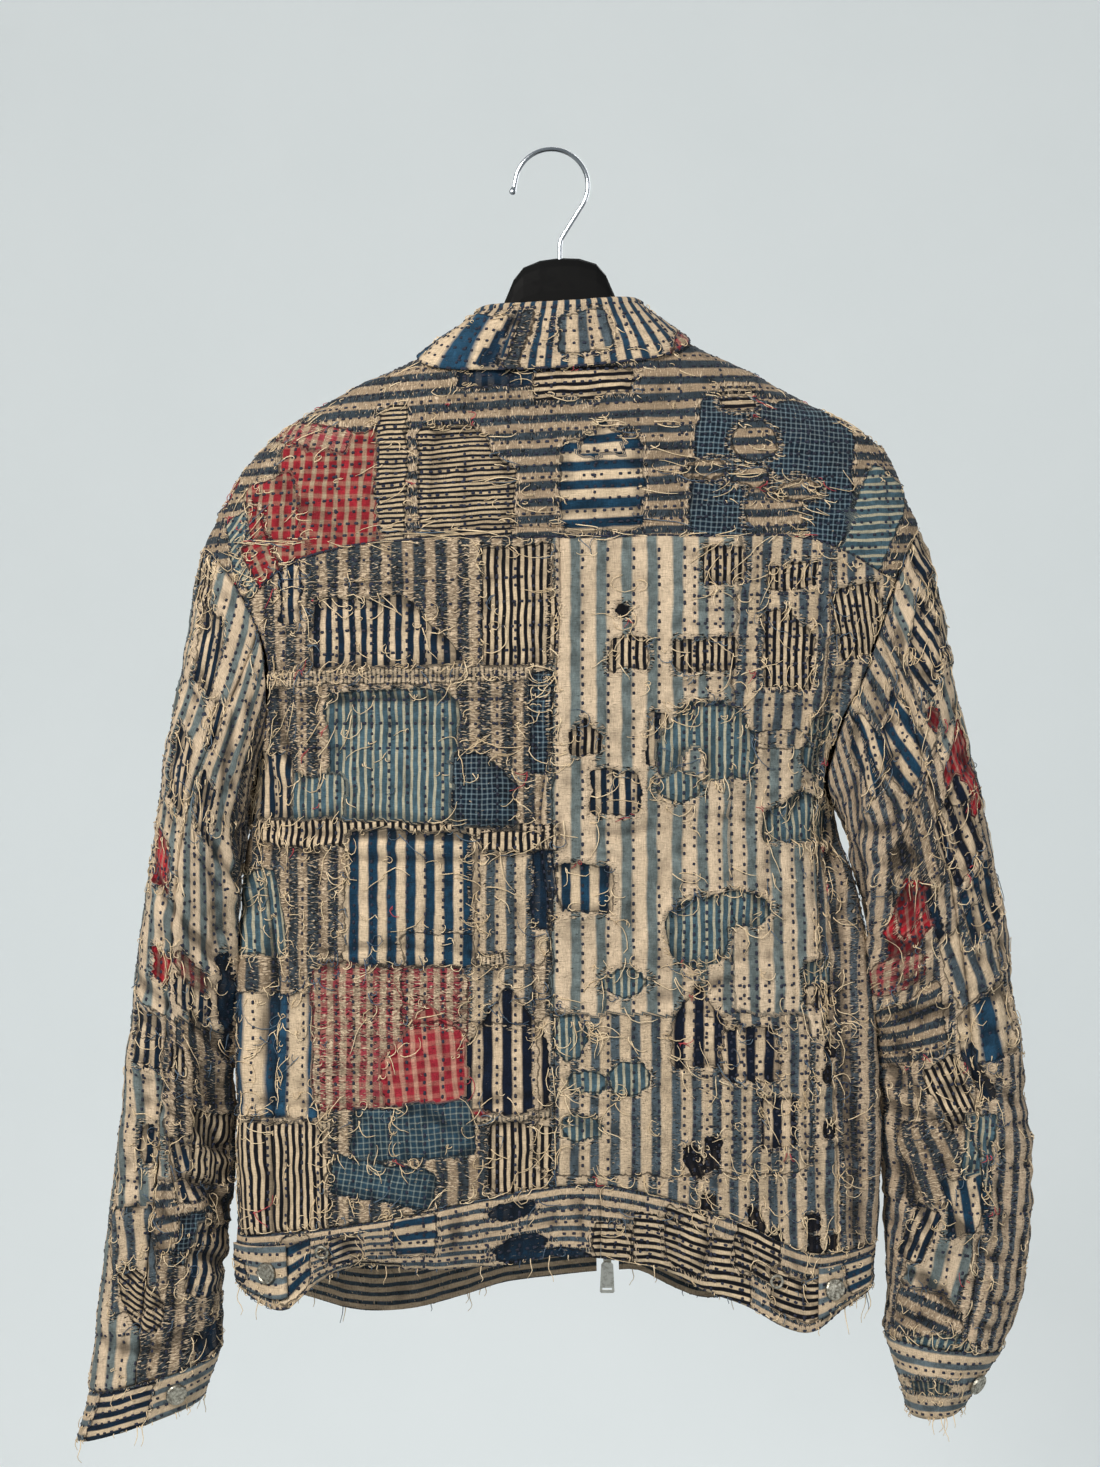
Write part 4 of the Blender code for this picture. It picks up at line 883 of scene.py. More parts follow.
PATCHES = {
    Z.YOKE: [Patch(F.GINGHAM, -158, -250, 72, 98, turn=4, depth=-0.5),
        Patch(F.GINGHAM, -196, -264, 34, 62, turn=16, lean=14, depth=-0.5),
        Patch(F.GINGHAM, -204, -296, 20, 40, lean=24, depth=-0.5),
        Patch(F.PINK, -172, -202, 56, 16, lean=-14, depth=-0.2),
        Patch(F.PIN, -113, -233, 20, 98, turn=90, depth=-0.3), Patch(F.PIN, -61, -235, 66, 78, O.CHOP,
        turn=90), Patch(F.DARK, -38, -160, 54, 13), Patch(F.BLACK, 24, -164, 68, 20, turn=90),
        Patch(F.BLUE, 35, -236, 54, 62, turn=90), Patch(F.BLUE, 35, -204, 28, 22, O.WEDGE, turn=90),
        Patch(F.BLACK, 132, -177, 25, 14, turn=88), Patch(F.SHOULDER, 146, -206, 30, 26, O.OVAL, turn=90,
        depth=-0.4), Patch(F.SHOULDER, 160, -258, 38, 34, turn=90, depth=-0.4),
        Patch(F.SHOULDER, 172, -242, 30, 12, O.OVAL, turn=90, depth=-0.4),
        Patch(F.SHOULDER, 112, -226, 26, 12, O.OVAL, turn=90, depth=-0.4),
        Patch(F.SHOULDER, 140, -232, 20, 10, O.OVAL, turn=90, depth=-0.4),
        Patch(F.RED, -232, -240, 14, 10, O.OVAL, lean=30), Patch(F.BLACK, 219, -192, 30, 14, turn=60,
        lean=-30)],
    Z.BACK: [Patch(F.NAVY, -117, -343, 104, 50, O.CHOP, depth=1.2), Patch(F.NAVY, -186, -313, 14, 46),
        Patch(F.FRINGE, -116, -373, 196, 10, lean=1, depth=-1.1),
        Patch(F.TEAL, -114, -432, 90, 92, depth=1.0), Patch(F.TEAL, -168, -464, 36, 36, depth=0.8),
        Patch(F.BLACK, -108, -487, 214, 17, lean=-1, depth=-1.3),
        Patch(F.FRINGE, -100, -578, 124, 8, lean=2, depth=-1.0),
        Patch(F.FRINGE, -190, -693, 66, 9, lean=-2, depth=-1.0),
        Patch(F.FRINGE, -30, -686, 56, 8, lean=4, depth=-0.8), Patch(F.BLACK, -24, -323, 48, 82, depth=0.6),
        Patch(F.CHECK, -7, -409, 14, 70, depth=0.5), Patch(F.CHECK, -48, -456, 42, 50, O.CHOP),
        Patch(F.NAVY, -201, -453, 27, 45), Patch(F.BLUE, -101, -534, 93, 93, depth=1.0),
        Patch(F.TEAL, -209, -542, 28, 58, lean=8), Patch(F.DARK, -6, -525, 12, 52),
        Patch(F.BROAD, -197, -646, 61, 82, depth=0.9), Patch(F.PINK, -116, -634, 108, 100, depth=0.3),
        Patch(F.ROSE, -84, -650, 74, 80, O.WEDGE, lean=6, depth=0.1),
        Patch(F.INK, -32, -640, 55, 86, O.WEDGE, depth=0.9), Patch(F.PANE, -98, -700, 84, 36, lean=4),
        Patch(F.PANE, -120, -736, 70, 24, lean=-8), Patch(F.BLACK, -194, -734, 64, 78, lean=2, depth=-0.4),
        Patch(F.BLACK, -23, -718, 42, 46), Patch(F.BLACK, 124, -294, 29, 25),
        Patch(F.BLACK, 172, -302, 32, 13), Patch(F.HOLE, 52, -326, 9, 10, O.OVAL),
        Patch(F.BLACK, 57, -358, 24, 20, depth=0.3), Patch(F.BLACK, 110, -358, 43, 18),
        Patch(F.BLACK, 170, -354, 34, 50, O.CHOP), Patch(F.BLACK, 220, -335, 34, 46, lean=12),
        Patch(F.TEAL, 194, -409, 16, 14), Patch(F.NAVY, 77, -420, 13, 36),
        Patch(F.TEAL, 110, -421, 66, 54, O.ARCH, depth=1.1), Patch(F.WIDE, 101, -440, 14, 24, O.OVAL,
        depth=-0.7), Patch(F.BLACK, 25, -418, 20, 24, O.WEDGE), Patch(F.NAVY, 47, -457, 32, 28, depth=0.8),
        Patch(F.TEAL, 91, -452, 28, 18, O.OVAL, depth=0.4), Patch(F.TEAL, 187, -431, 13, 20, O.OVAL),
        Patch(F.TEAL, 180, -474, 54, 34, O.WEDGE, depth=1.0), Patch(F.BLUE, 25, -525, 37, 32, depth=1.0),
        Patch(F.TEAL, 120, -555, 72, 52, O.BEAN, depth=1.1), Patch(F.TEAL, 52, -593, 26, 16, O.OVAL,
        depth=0.4), Patch(F.TEAL, 13, -632, 24, 30, O.OVAL, depth=0.4),
        Patch(F.TEAL, 54, -661, 27, 22, O.OVAL, depth=0.4), Patch(F.TEAL, 24, -664, 26, 16, O.OVAL,
        depth=0.4), Patch(F.TEAL, 22, -696, 24, 17, O.OVAL, depth=0.4),
        Patch(F.INK, 106, -624, 38, 54, O.WEDGE, depth=1.0), Patch(F.INK, 142, -645, 40, 36, depth=1.0),
        Patch(F.INK, 161, -692, 24, 34, depth=0.8), Patch(F.INK, 192, -602, 21, 13),
        Patch(F.HOLE, 103, -722, 10, 20, O.OVAL, lean=20), Patch(F.HOLE, 115, -716, 9, 22),
        Patch(F.TEAL, 192, -586, 21, 18), Patch(F.BLACK, 196, -604, 14, 13),
        Patch(F.HOLE, 199, -659, 9, 9, O.OVAL), Patch(F.HOLE, 199, -697, 9, 10, O.OVAL),
        Patch(F.HOLE, 113, -749, 8, 7), Patch(F.HOLE, 146, -758, 7, 9), Patch(F.HOLE, 159, -774, 8, 8),
        Patch(F.HOLE, 147, -768, 8, 7), Patch(F.HOLE, 186, -763, 9, 10), Patch(F.HOLE, 188, -780, 9, 14),
        Patch(F.HOLE, 200, -778, 8, 13), Patch(F.HOLE, 200, -620, 8, 9), Patch(F.HOLE, 201, -640, 7, 8)],
    Z.BAND: [Patch(F.BLUE, -95, -775, 27, 36, turn=90, depth=0.5),
        Patch(F.NAVY, -148, -783, 22, 30, turn=84), Patch(F.BLUE, -184, -796, 18, 44, turn=76),
        Patch(F.DARK, -26, -755, 27, 11, O.OVAL), Patch(F.DARK, -22, -781, 33, 16, O.OVAL),
        Patch(F.DARK, 6, -789, 48, 14, O.OVAL), Patch(F.BLACK, 45, -779, 26, 30, turn=88, depth=0.4),
        Patch(F.BLACK, 98, -777, 26, 40, turn=90, depth=0.4), Patch(F.BLACK, 146, -782, 28, 34, turn=88,
        depth=0.4), Patch(F.BLACK, 174, -818, 34, 26, turn=90, depth=0.4),
        Patch(F.BLACK, -125, -800, 32, 14, turn=90)],
    Z.SLEEVE_LEFT: [Patch(F.BLACK, -246, -302, 12, 24, lean=14),
        Patch(F.NAVY, -244, -355, 23, 37, lean=14, depth=1.1), Patch(F.NAVY, -267, -442, 18, 36, lean=6,
        depth=1.1), Patch(F.NAVY, -248, -468, 19, 29, lean=4, depth=0.9),
        Patch(F.NAVY, -239, -410, 9, 22, lean=8), Patch(F.RED, -278, -504, 15, 28, depth=0.6),
        Patch(F.RED, -278, -580, 12, 16), Patch(F.PINK, -255, -588, 24, 16, O.OVAL),
        Patch(F.NAVY, -256, -607, 24, 20, depth=0.8), Patch(F.NAVY, -288, -634, 21, 31, depth=1.0),
        Patch(F.BLACK, -266, -648, 12, 18), Patch(F.NAVY, -287, -709, 16, 25, O.OVAL, depth=0.8),
        Patch(F.PIN, -293, -820, 22, 44, O.OVAL, turn=-16, lean=38, depth=0.5),
        Patch(F.NAVY, -259, -726, 24, 46, lean=18), Patch(F.BLACK, -241, -712, 20, 56, lean=-4),
        Patch(F.DARK, -233, -604, 9, 60, O.OVAL), Patch(F.CHECK, -256, -777, 16, 36),
        Patch(F.NAVY, -238, -790, 24, 54, lean=-12), Patch(F.DARK, -243, -845, 14, 22, lean=16)],
    Z.SLEEVE_RIGHT: [Patch(F.NAVY, 263, -286, 17, 25, lean=-22), Patch(F.NAVY, 278, -333, 12, 34, lean=-18),
        Patch(F.NAVY, 268, -356, 35, 37, lean=-28, depth=1.1), Patch(F.RED, 272, -404, 9, 13, O.OVAL,
        lean=-26), Patch(F.RED, 295, -448, 26, 46, lean=-16, depth=0.6),
        Patch(F.BLUE, 250, -424, 30, 56, lean=-28, depth=1.0), Patch(F.BLUE, 227, -430, 20, 52, turn=-16,
        lean=-28, depth=0.8), Patch(F.INK, 290, -484, 34, 50, lean=-18, depth=1.0),
        Patch(F.RED, 255, -544, 31, 54, O.WEDGE, lean=-10, depth=0.7),
        Patch(F.DARK, 272, -545, 5, 40, lean=-16), Patch(F.PINK, 246, -588, 34, 30, O.OVAL, depth=0.0),
        Patch(F.PINK, 226, -566, 12, 36, O.OVAL), Patch(F.BLUE, 307, -536, 27, 34, lean=-12, depth=0.8),
        Patch(F.BROAD, 312, -625, 40, 41, lean=-12, depth=0.8), Patch(F.DARK, 305, -657, 9, 38, lean=-22),
        Patch(F.BLACK, 284, -670, 26, 48, lean=-22, depth=0.8), Patch(F.NAVY, 262, -770, 16, 40, lean=12),
        Patch(F.TEAL, 306, -720, 22, 60, lean=8), Patch(F.BLUE, 296, -752, 26, 40, lean=-14),
        Patch(F.TEAL, 274, -872, 42, 22, O.OVAL, depth=0.5)],
    Z.CUFF_LEFT: [Patch(F.NAVY, -309, -898, 44, 32, turn=90, depth=0.6)],
    Z.CUFF_RIGHT: [Patch(F.TEAL, 270, -884, 34, 10, O.OVAL)],
    Z.TAB_LEFT: [Patch(F.NAVY, -226, -794, 16, 18, turn=90, depth=-0.2)],
    Z.TAB_RIGHT: [Patch(F.BLUE, 222, -797, 22, 40, turn=90, depth=-0.3)],
    Z.COLLAR: [Patch(F.BROAD, -62, -136, 58, 50, lean=6, depth=-0.1),
        Patch(F.DARK, -36, -132, 5, 44, lean=-6, depth=-0.4), Patch(F.PINK, 99, -137, 20, 20, O.OVAL,
        depth=0.2), Patch(F.BORO_PALE, 22, -128, 30, 28, depth=-0.2),
        Patch(F.BORO, -22, -132, 9, 44, depth=-0.1)],
    Z.FRONT: [Patch(F.NAVY, -120, -300, 70, 60, O.ARCH), Patch(F.TEAL, 130, -350, 66, 74, O.BOX),
        Patch(F.GINGHAM, -150, -500, 64, 58), Patch(F.BLACK, -70, -420, 44, 52),
        Patch(F.BLUE, 120, -540, 80, 70, O.WEDGE), Patch(F.TEAL, -60, -620, 52, 44, O.BEAN),
        Patch(F.BLACK, 170, -450, 30, 42, O.OVAL), Patch(F.PANE, -140, -690, 72, 60),
        Patch(F.NAVY, 110, -700, 46, 56), Patch(F.BLACK, 90, -240, 30, 26),
        Patch(F.RED, 180, -640, 24, 30, O.OVAL), Patch(F.NAVY, -180, -380, 24, 40),
        Patch(F.TEAL, 60, -460, 20, 30, O.OVAL), Patch(F.DARK, -30, -540, 12, 46)],
}


class Crease(NamedTuple):
    """A crease: where its middle is seen, how long and wide it is, its
    depth (below 0 is a ridge), how it leans from the way down, and its bow."""

    x: float
    z: float
    length: float
    width: float
    depth: float
    lean: float
    bow: float = 0.0


CREASES = {
    Z.YOKE: rows(Crease, (-170, -262, 66, 5, 1.1, 52, 3), (-186, -240, 50, 4, 0.9, 40, -2),
        (-60, -205, 120, 5, 0.7, 86, 5), (80, -212, 110, 6, 0.8, 95, -4), (196, -250, 70, 5, 1.0, -38, 4),
        (150, -182, 60, 4, 0.7, 100, 2), (0, -262, 140, 5, 0.6, 91, 3), (215, -225, 40, 4, -0.9, -52, 0)),
    Z.BACK: rows(Crease, (-205, -380, 90, 7, 2.0, 14, 5), (-188, -420, 70, 6, 1.5, 24, -4),
        (206, -400, 80, 8, 2.2, -16, -6), (176, -455, 70, 6, 1.5, -30, 4), (150, -500, 120, 6, 0.9, -8, 6),
        (-110, -386, 170, 4, -1.3, 91, 3), (-118, -492, 190, 4, -1.4, 88, -3),
        (-115, -578, 120, 4, -1.2, 90, 4), (-190, -688, 80, 4, -1.2, 87, 2),
        (-30, -684, 60, 4, -1.0, 98, 2), (60, -480, 90, 4, 0.7, 96, -3), (110, -475, 70, 4, 0.6, 84, 3),
        (90, -595, 100, 5, 0.8, 101, -5), (140, -585, 90, 4, -0.7, 94, 3),
        (-216, -615, 370, 15, -4.8, 2, 0), (222, -590, 420, 15, -5.0, 2, 0),
        (-218, -540, 110, 12, -1.8, 0, 0), (224, -515, 120, 12, -2.8, 0, 0),
        (-205, -600, 120, 7, 1.6, -6, 5), (210, -640, 120, 8, 2.0, 8, -6), (185, -720, 80, 6, 1.6, 20, 4),
        (-160, -560, 130, 6, 0.9, 8, -5), (-95, -690, 80, 5, 0.9, 70, 4), (30, -700, 70, 5, 0.8, 75, 4)),
    Z.FRONT: rows(Crease, (-170, -330, 120, 8, 2.0, 20, 6), (170, -340, 110, 8, 2.0, -22, -6),
        (-90, -480, 160, 9, 1.8, 8, -8), (110, -520, 150, 8, 1.6, -10, 8), (-120, -640, 130, 6, 1.2, 80, 4),
        (120, -660, 120, 6, 1.2, 98, -4), (-60, -720, 90, 6, 1.4, -12, 4), (150, -730, 80, 6, 1.4, 14, -4)),
    Z.BAND: rows(Crease, (-150, -780, 40, 5, 0.9, 10, 2), (-70, -770, 44, 5, 0.8, -12, 2),
        (20, -760, 40, 5, 0.8, 8, 0), (110, -780, 44, 5, 1.0, -14, 2), (178, -800, 40, 5, 1.0, 16, 0),
        (60, -768, 30, 4, 0.7, 24, 0)),
    Z.SLEEVE_LEFT: rows(Crease, (-231, -640, 370, 14, -4.3, 0, 0), (-227, -530, 110, 12, -2.2, 0, 0),
        (-232, -520, 70, 6, 2.0, 62, 5), (-262, -545, 90, 6, 1.6, 74, -6), (-240, -640, 60, 6, 2.2, 55, 4),
        (-238, -700, 70, 6, 2.2, 48, -5), (-270, -690, 60, 5, 1.2, 80, 3), (-245, -745, 70, 6, 2.4, 60, 4),
        (-236, -790, 60, 6, 2.2, 70, -3), (-290, -760, 70, 4, 0.9, 82, 5), (-300, -850, 70, 5, 1.1, 76, -4),
        (-255, -850, 50, 6, 2.0, 58, 4), (-232, -420, 60, 6, 1.6, 30, 4), (-262, -400, 90, 5, 0.9, -6, 4),
        (-285, -600, 70, 4, 0.9, 84, 3), (-248, -580, 80, 6, -1.6, 70, 4)),
    Z.SLEEVE_RIGHT: rows(Crease, (236, -600, 430, 14, -4.6, 0, 0), (229, -508, 120, 12, -3.8, -6, 0),
        (232, -480, 60, 6, 2.4, -48, 4), (245, -510, 70, 6, 2.2, -58, -4), (262, -560, 80, 6, 2.0, -66, 5),
        (240, -570, 50, 6, 2.2, -40, 0), (268, -620, 90, 6, 2.0, -70, -5), (300, -600, 80, 5, 1.2, -80, 4),
        (250, -660, 60, 6, 2.2, -50, 4), (290, -700, 80, 6, 1.8, -64, -5), (258, -740, 60, 7, 2.4, -30, 4),
        (300, -770, 70, 6, 1.8, -56, 5), (265, -810, 50, 6, 1.8, -62, -4), (300, -830, 60, 6, 1.8, -70, 4),
        (258, -395, 90, 6, 1.4, 12, 5), (296, -430, 80, 5, 0.9, -78, 4), (278, -505, 80, 6, -1.6, -62, 4),
        (312, -665, 60, 5, 1.3, -50, 0)),
}


# ---- the cloth's material

@dataclass(frozen=True)
class BoroCotton:
    """Hand-woven cotton dyed with indigo, worn thin, patched and stitched.

    It is matt and slightly fuzzy. Its slubs run both ways, and where it is worn the
    pale weft threads lie loose over the dyed stripes."""

    weft: str = "#C6B298"       # bare weft threads, which show where the dye has gone
    soil: str = "#7C6B54"       # brown of age in the pale grounds
    warp: str = "#131516"       # dyed threads that show through the worn weft
    shadow: str = "#08090D"     # painted shade in the hollows of the relief, and painted shadow under torn edges
    roughness: float = 0.93
    fuzz: float = 0.04          # sheen of the loose fibres
    slub_across: float = 0.8    # a weft thread is 0.5 mm; drawn coarser, so that it shows
    slub_along: float = 6.0
    torn: float = 4.0           # size of the notches of a torn edge
    relief: float = 0.0011      # height of the loose weft, in metres

    def make(self) -> Material:
        """Makes the material that reads each point's own cotton."""
        finish = Finish("indigo_boro_cotton")
        add, place = finish.add, finish.place
        colour, height = self.weave(add, place, self.pick(add, place))
        bump = add("Bump", Height=height, Strength=0.85, Distance=self.relief)
        return finish.wire({"Base Color": colour, "Normal": bump, "Roughness": self.roughness,
            "Specular IOR Level": 0.12, "Sheen Weight": self.fuzz, "Sheen Roughness": 0.5})

    def pick(self, add: Callable, place: Socket) -> dict[str, Socket]:
        """Chooses the base, field or patch cotton, with torn edges between them.

        Args:
            add: adds a node to the material.
            place: where the point is.

        Returns:
            The cotton's grain, weave, ground and stripe, how near a torn edge is, and how much painted
            shadow falls just inside it.
        """
        notch = add("TexNoise", Vector=place, Scale=1000 / self.torn, Detail=3.0)
        ragged = add("MapRange", Value=notch, To_Min=-2.4, To_Max=2.4)
        picked = {part: add("Attribute", out="Vector", attribute_name=f"base_{part}") for part in ("grain",
            "weave", "ground", "stripe")}
        near = gap = None
        for layer in ("field", "patch"):
            rim = add("Attribute", out="Fac", attribute_name=f"{layer}_rim")
            edge = add("Math", rim, ragged, operation="ADD")
            inside = add("Math", edge, 0.0, operation="LESS_THAN")
            for part, under in picked.items():
                over = add("Attribute", out="Vector", attribute_name=f"{layer}_{part}")
                picked[part] = add("Mix", at={0: inside, 4: under, 5: over}, out=1, data_type="VECTOR")
            far = add("Math", add("Math", edge, 1.7, operation="SUBTRACT"), operation="ABSOLUTE")
            near = far if near is None else add("Math", near, far, operation="MINIMUM")
            # Painted shadow: a dark line just inside each torn edge, where its lip would shade the cloth
            # below.
            under = add("Math", add("Math", edge, 0.9, operation="ADD"), operation="ABSOLUTE")
            gap = under if gap is None else add("Math", gap, under, operation="MINIMUM")
        picked["fray"] = add("MapRange", Value=near, From_Min=1.2, From_Max=3.2, To_Min=1.0, To_Max=0.0)
        # gap holds how much painted shadow lies just inside the nearest torn edge.
        picked["gap"] = add("MapRange", Value=gap, From_Min=0.3, From_Max=1.0, To_Min=0.8, To_Max=0.0)
        return picked

    def bands(self, add: Callable, along: Socket, weave: bpy.types.Node, blur: float = 0.10) -> Socket:
        """Draws stripes: 1 on a stripe and 0 on the ground between.

        Args:
            add: adds a node to the material.
            along: distance across the stripes.
            weave: the node that holds pitch, share and check.
            blur: how soft a stripe's edge is.

        Returns:
            The stripes' share.
        """
        pitch, share = weave.outputs[0], weave.outputs[1]
        turn = add("Math", along, pitch, operation="DIVIDE")
        swing = add("Math", turn, 0.5, operation="PINGPONG")
        reach = add("Math", share, 0.5, operation="MULTIPLY")
        inner = add("Math", reach, blur / 2, operation="SUBTRACT")
        outer = add("Math", reach, blur / 2, operation="ADD")
        return add("MapRange", Value=swing, From_Min=inner, From_Max=outer, To_Min=1.0, To_Max=0.0)

    def weave(self, add: Callable, place: Socket, picked: dict[str, Socket]) -> tuple[Socket, Socket]:
        """Draws the stripes, the worn weft, the soil and the slubs, and paints shade into the hollows and
        under torn edges.

        Args:
            add: adds a node to the material.
            place: where the point is.
            picked: what the cotton is made of there.

        Returns:
            The colour, and the height for the bump.
        """
        drift = add("TexNoise", Vector=place, Scale=45.0, Detail=2.0, out=1)
        sway = add("VectorMath", drift, (0.5, 0.5, 0.5), operation="SUBTRACT")
        sway = add("VectorMath", sway, (3.2, 3.2, 0.0), operation="MULTIPLY")
        grain = add("VectorMath", picked["grain"], sway, operation="ADD")
        across = add("SeparateXYZ", grain)
        along, wear = across.node.outputs[1], across.node.outputs[2]
        weave = add("SeparateXYZ", picked["weave"]).node
        warp = self.bands(add, across, weave)
        weft = self.bands(add, along, weave)
        both = add("Math", warp, weft, operation="ADD")
        both = add("Math", both, 0.5, operation="MULTIPLY")
        share = add("Mix", at={0: weave.outputs[2], 2: warp, 3: both}, data_type="FLOAT")

        # Slubs: long noise across the stripes, and the same along them.
        slubs = []
        for sizes in ((1 / self.slub_along, 1 / self.slub_across, 0),
                (1 / self.slub_across, 1 / self.slub_along, 0)):
            run = add("VectorMath", picked["grain"], sizes, operation="MULTIPLY")
            slubs.append(add("TexNoise", Vector=run, Scale=1.0, Detail=3.0, Roughness=0.65))
        slub = add("Math", slubs[0], slubs[1], operation="ADD")
        shade = add("MapRange", Value=slub, From_Min=0.7, From_Max=1.3, To_Min=0.66, To_Max=1.24)
        soil = add("TexNoise", Vector=place, Scale=28.0, Detail=4.0)
        soil = add("MapRange", Value=soil, From_Min=0.45, From_Max=0.75, To_Min=0.0, To_Max=0.34)
        ground = add("Mix", at={0: soil, 4: picked["ground"], 5: linear(self.soil)[:3]}, out=1,
            data_type="VECTOR")
        faded = add("TexNoise", Vector=place, Scale=95.0, Detail=5.0, Roughness=0.7)
        faded = add("MapRange", Value=faded, From_Min=0.35, From_Max=0.72, To_Min=0.75, To_Max=1.75)
        stripe = add("VectorMath", picked["stripe"], Scale=faded, operation="SCALE")
        cloth = add("Mix", at={0: share, 4: ground, 5: stripe}, out=1, data_type="VECTOR")

        # Worn weft: wavy threads a few millimetres long, which cover the dye where it is worn.
        curl = add("TexNoise", Vector=place, Scale=170.0, Detail=1.0, out=1)
        curl = add("VectorMath", curl, (4.0, 4.0, 0.0), operation="MULTIPLY")
        run = add("VectorMath", picked["grain"], curl, operation="ADD")
        worn = add("Math", wear, picked["fray"], operation="MAXIMUM")
        covers = []
        bare = add("Math", 1.0, share, operation="SUBTRACT")
        for sizes, low, high, dyed in (((0.24, 1.05, 0.0), 0.68, 0.46, share),
                ((0.27, 1.15, 0.0), 0.72, 0.50, bare)):
            loops = add("VectorMath", run, sizes, operation="MULTIPLY")
            loops = add("VectorMath", loops, (low * 90, 0.0, 0.0), operation="ADD")
            loops = add("TexNoise", Vector=loops, Scale=1.0, Detail=1.5, Roughness=0.55)
            start = add("MapRange", Value=worn, To_Min=low, To_Max=high)
            start = add("Math", dyed, 0.09, start, operation="MULTIPLY_ADD")
            stop = add("Math", start, 0.05, operation="ADD")
            covers.append(add("MapRange", Value=loops, From_Min=start, From_Max=stop))
        pale, dark = covers
        colour = add("Mix", at={0: dark, 4: cloth, 5: linear(self.warp)[:3]}, out=1, data_type="VECTOR")
        colour = add("Mix", at={0: pale, 4: colour, 5: linear(self.weft)[:3]}, out=1, data_type="VECTOR")
        colour = add("VectorMath", colour, Scale=shade, operation="SCALE")
        # Painted shade: the hollows of the relief, and a line just inside each torn edge under its lip, are
        # darkened towards the shadow colour.
        hollow = add("Attribute", out="Fac", attribute_name="hollow")
        painted_shade = add("Math", hollow, picked["gap"], operation="MAXIMUM")
        colour = add("Mix", at={0: painted_shade, 4: colour, 5: linear(self.shadow)[:3]}, out=1, data_type="VECTOR")
        height = add("Math", pale, slub, operation="ADD")
        height = add("Math", height, dark, operation="SUBTRACT")
        return colour, height


# ---- cloth pieces

FAR = 60.0      # the rim where no patch is near


@dataclass
class ClothPiece:
    """One cut piece of the jacket, as a thin closed shell on its solid's form."""

    name: str
    zone: Zone
    form: Grid            # points of its outer face, by row and column
    around: Grid          # distance round the jacket at each point
    down: Grid            # distance down it
    outward: int                # 1 or -1: which way the face's normals go
    fabric: Fabric
    turn: float = 0.0           # how far its stripes turn from the way down
    thickness: float = 1.6
    rough: float = 1.0          # how strongly it puckers
    still: list[tuple[Grid, float]] = field(default_factory=list)     # where trim sits

    def __post_init__(self) -> None:
        """Measures the form before anything is pressed into it."""
        self.marks: dict[str, Grid] = {}
        self.nearest: dict[str, Grid] = {}
        self.lowest, self.highest = np.full(self.around.shape, -5.0), np.full(self.around.shape, 8.0)
        self.surface, self.facing = self.form, self.form
        self.normal = self.normals(self.form)
        self.cell_row, self.cell_col = (float(norm(np.diff(self.form, axis=axis)).mean()) for axis in (0,
            1))
        below, beside = run_along(self.form, 0), run_along(self.form, 1)
        self.cut_length, self.cut_width = float(below[-1].max()), float(beside[:, -1].max())
        cells = np.cross(np.diff(self.form, axis=0)[:, :-1], np.diff(self.form, axis=1)[:-1])
        self.cut_area = float(norm(cells).sum())
        self.border = np.minimum(np.minimum(below, below[-1:] - below),
            np.minimum(beside, beside[:, -1:] - beside))

    def normals(self, points: Grid) -> Grid:
        """Gives the outward unit normals of a grid of points."""
        normal = np.cross(np.gradient(points, axis=1), np.gradient(points, axis=0)) * self.outward
        return unit(normal)

    def find(self, x: float, z: float, front: bool) -> tuple[float, tuple[int, int]]:
        """Finds the point that is seen nearest to a place.

        Args:
            x: the place, across.
            z: the place, up.
            front: whether it is on the side away from the viewer.

        Returns:
            How far off it is, and its row and column.
        """
        away = norm(seen(self.form) - np.array([x, z]))
        hidden = self.normal[..., 1] < 0 if front else self.normal[..., 1] > 0
        away = away + np.where(hidden, 500.0, 0.0)
        spot = np.unravel_index(int(away.argmin()), away.shape)
        return float(away[spot]), spot

    def build(self, cotton: Material, node: str) -> None:
        """Makes the shell's mesh, with what each point of it is made of, and logs its cut.

        Args:
            cotton: the cloth's finish.
            node: the solid that it stands for.
        """
        rows, columns = self.surface.shape[:2]
        inner = (self.surface - self.normal * self.thickness)[::2, ::2]
        points = np.concatenate([self.surface.reshape(-1, 3), inner.reshape(-1, 3)])
        faces = shell_faces(rows, columns)
        if self.outward > 0:
            faces = [face[::-1] for face in faces]
        made = make_mesh(self.name, points, faces, cotton)
        for name, values in self.marks.items():
            values = np.concatenate([values.reshape(rows * columns, -1),
                values[::2, ::2].reshape(inner.size // 3, -1)])
            kind, key = ("FLOAT", "value") if values.shape[1] == 1 else ("FLOAT_VECTOR", "vector")
            mark = made.data.attributes.new(name, kind, "POINT")
            mark.data.foreach_set(key, values.astype(np.float32).ravel())
        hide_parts(node)
        width, length = self.cut_width * MM, self.cut_length * MM
        area = min(max(self.cut_area * MM * MM, 0.301 * width * length), width * length)
        log.info("%s: cut %.0f x %.0f mm, %.3f square metres", self.name, self.cut_width, self.cut_length,
            area)


@dataclass
class Placed:
    """A patch or crease, laid on the cloth at its own place round and down."""

    what: Patch | Crease
    around: float
    down: float
    stretch: float

    def local(self, around: Grid, down: Grid) -> tuple[Grid, Grid]:
        """Gives distances across and down from its middle, turned by its lean."""
        angle = math.radians(self.what.lean)
        a, b = around - self.around, down - self.down
        return a * math.cos(angle) - b * math.sin(angle), a * math.sin(angle) + b * math.cos(angle)


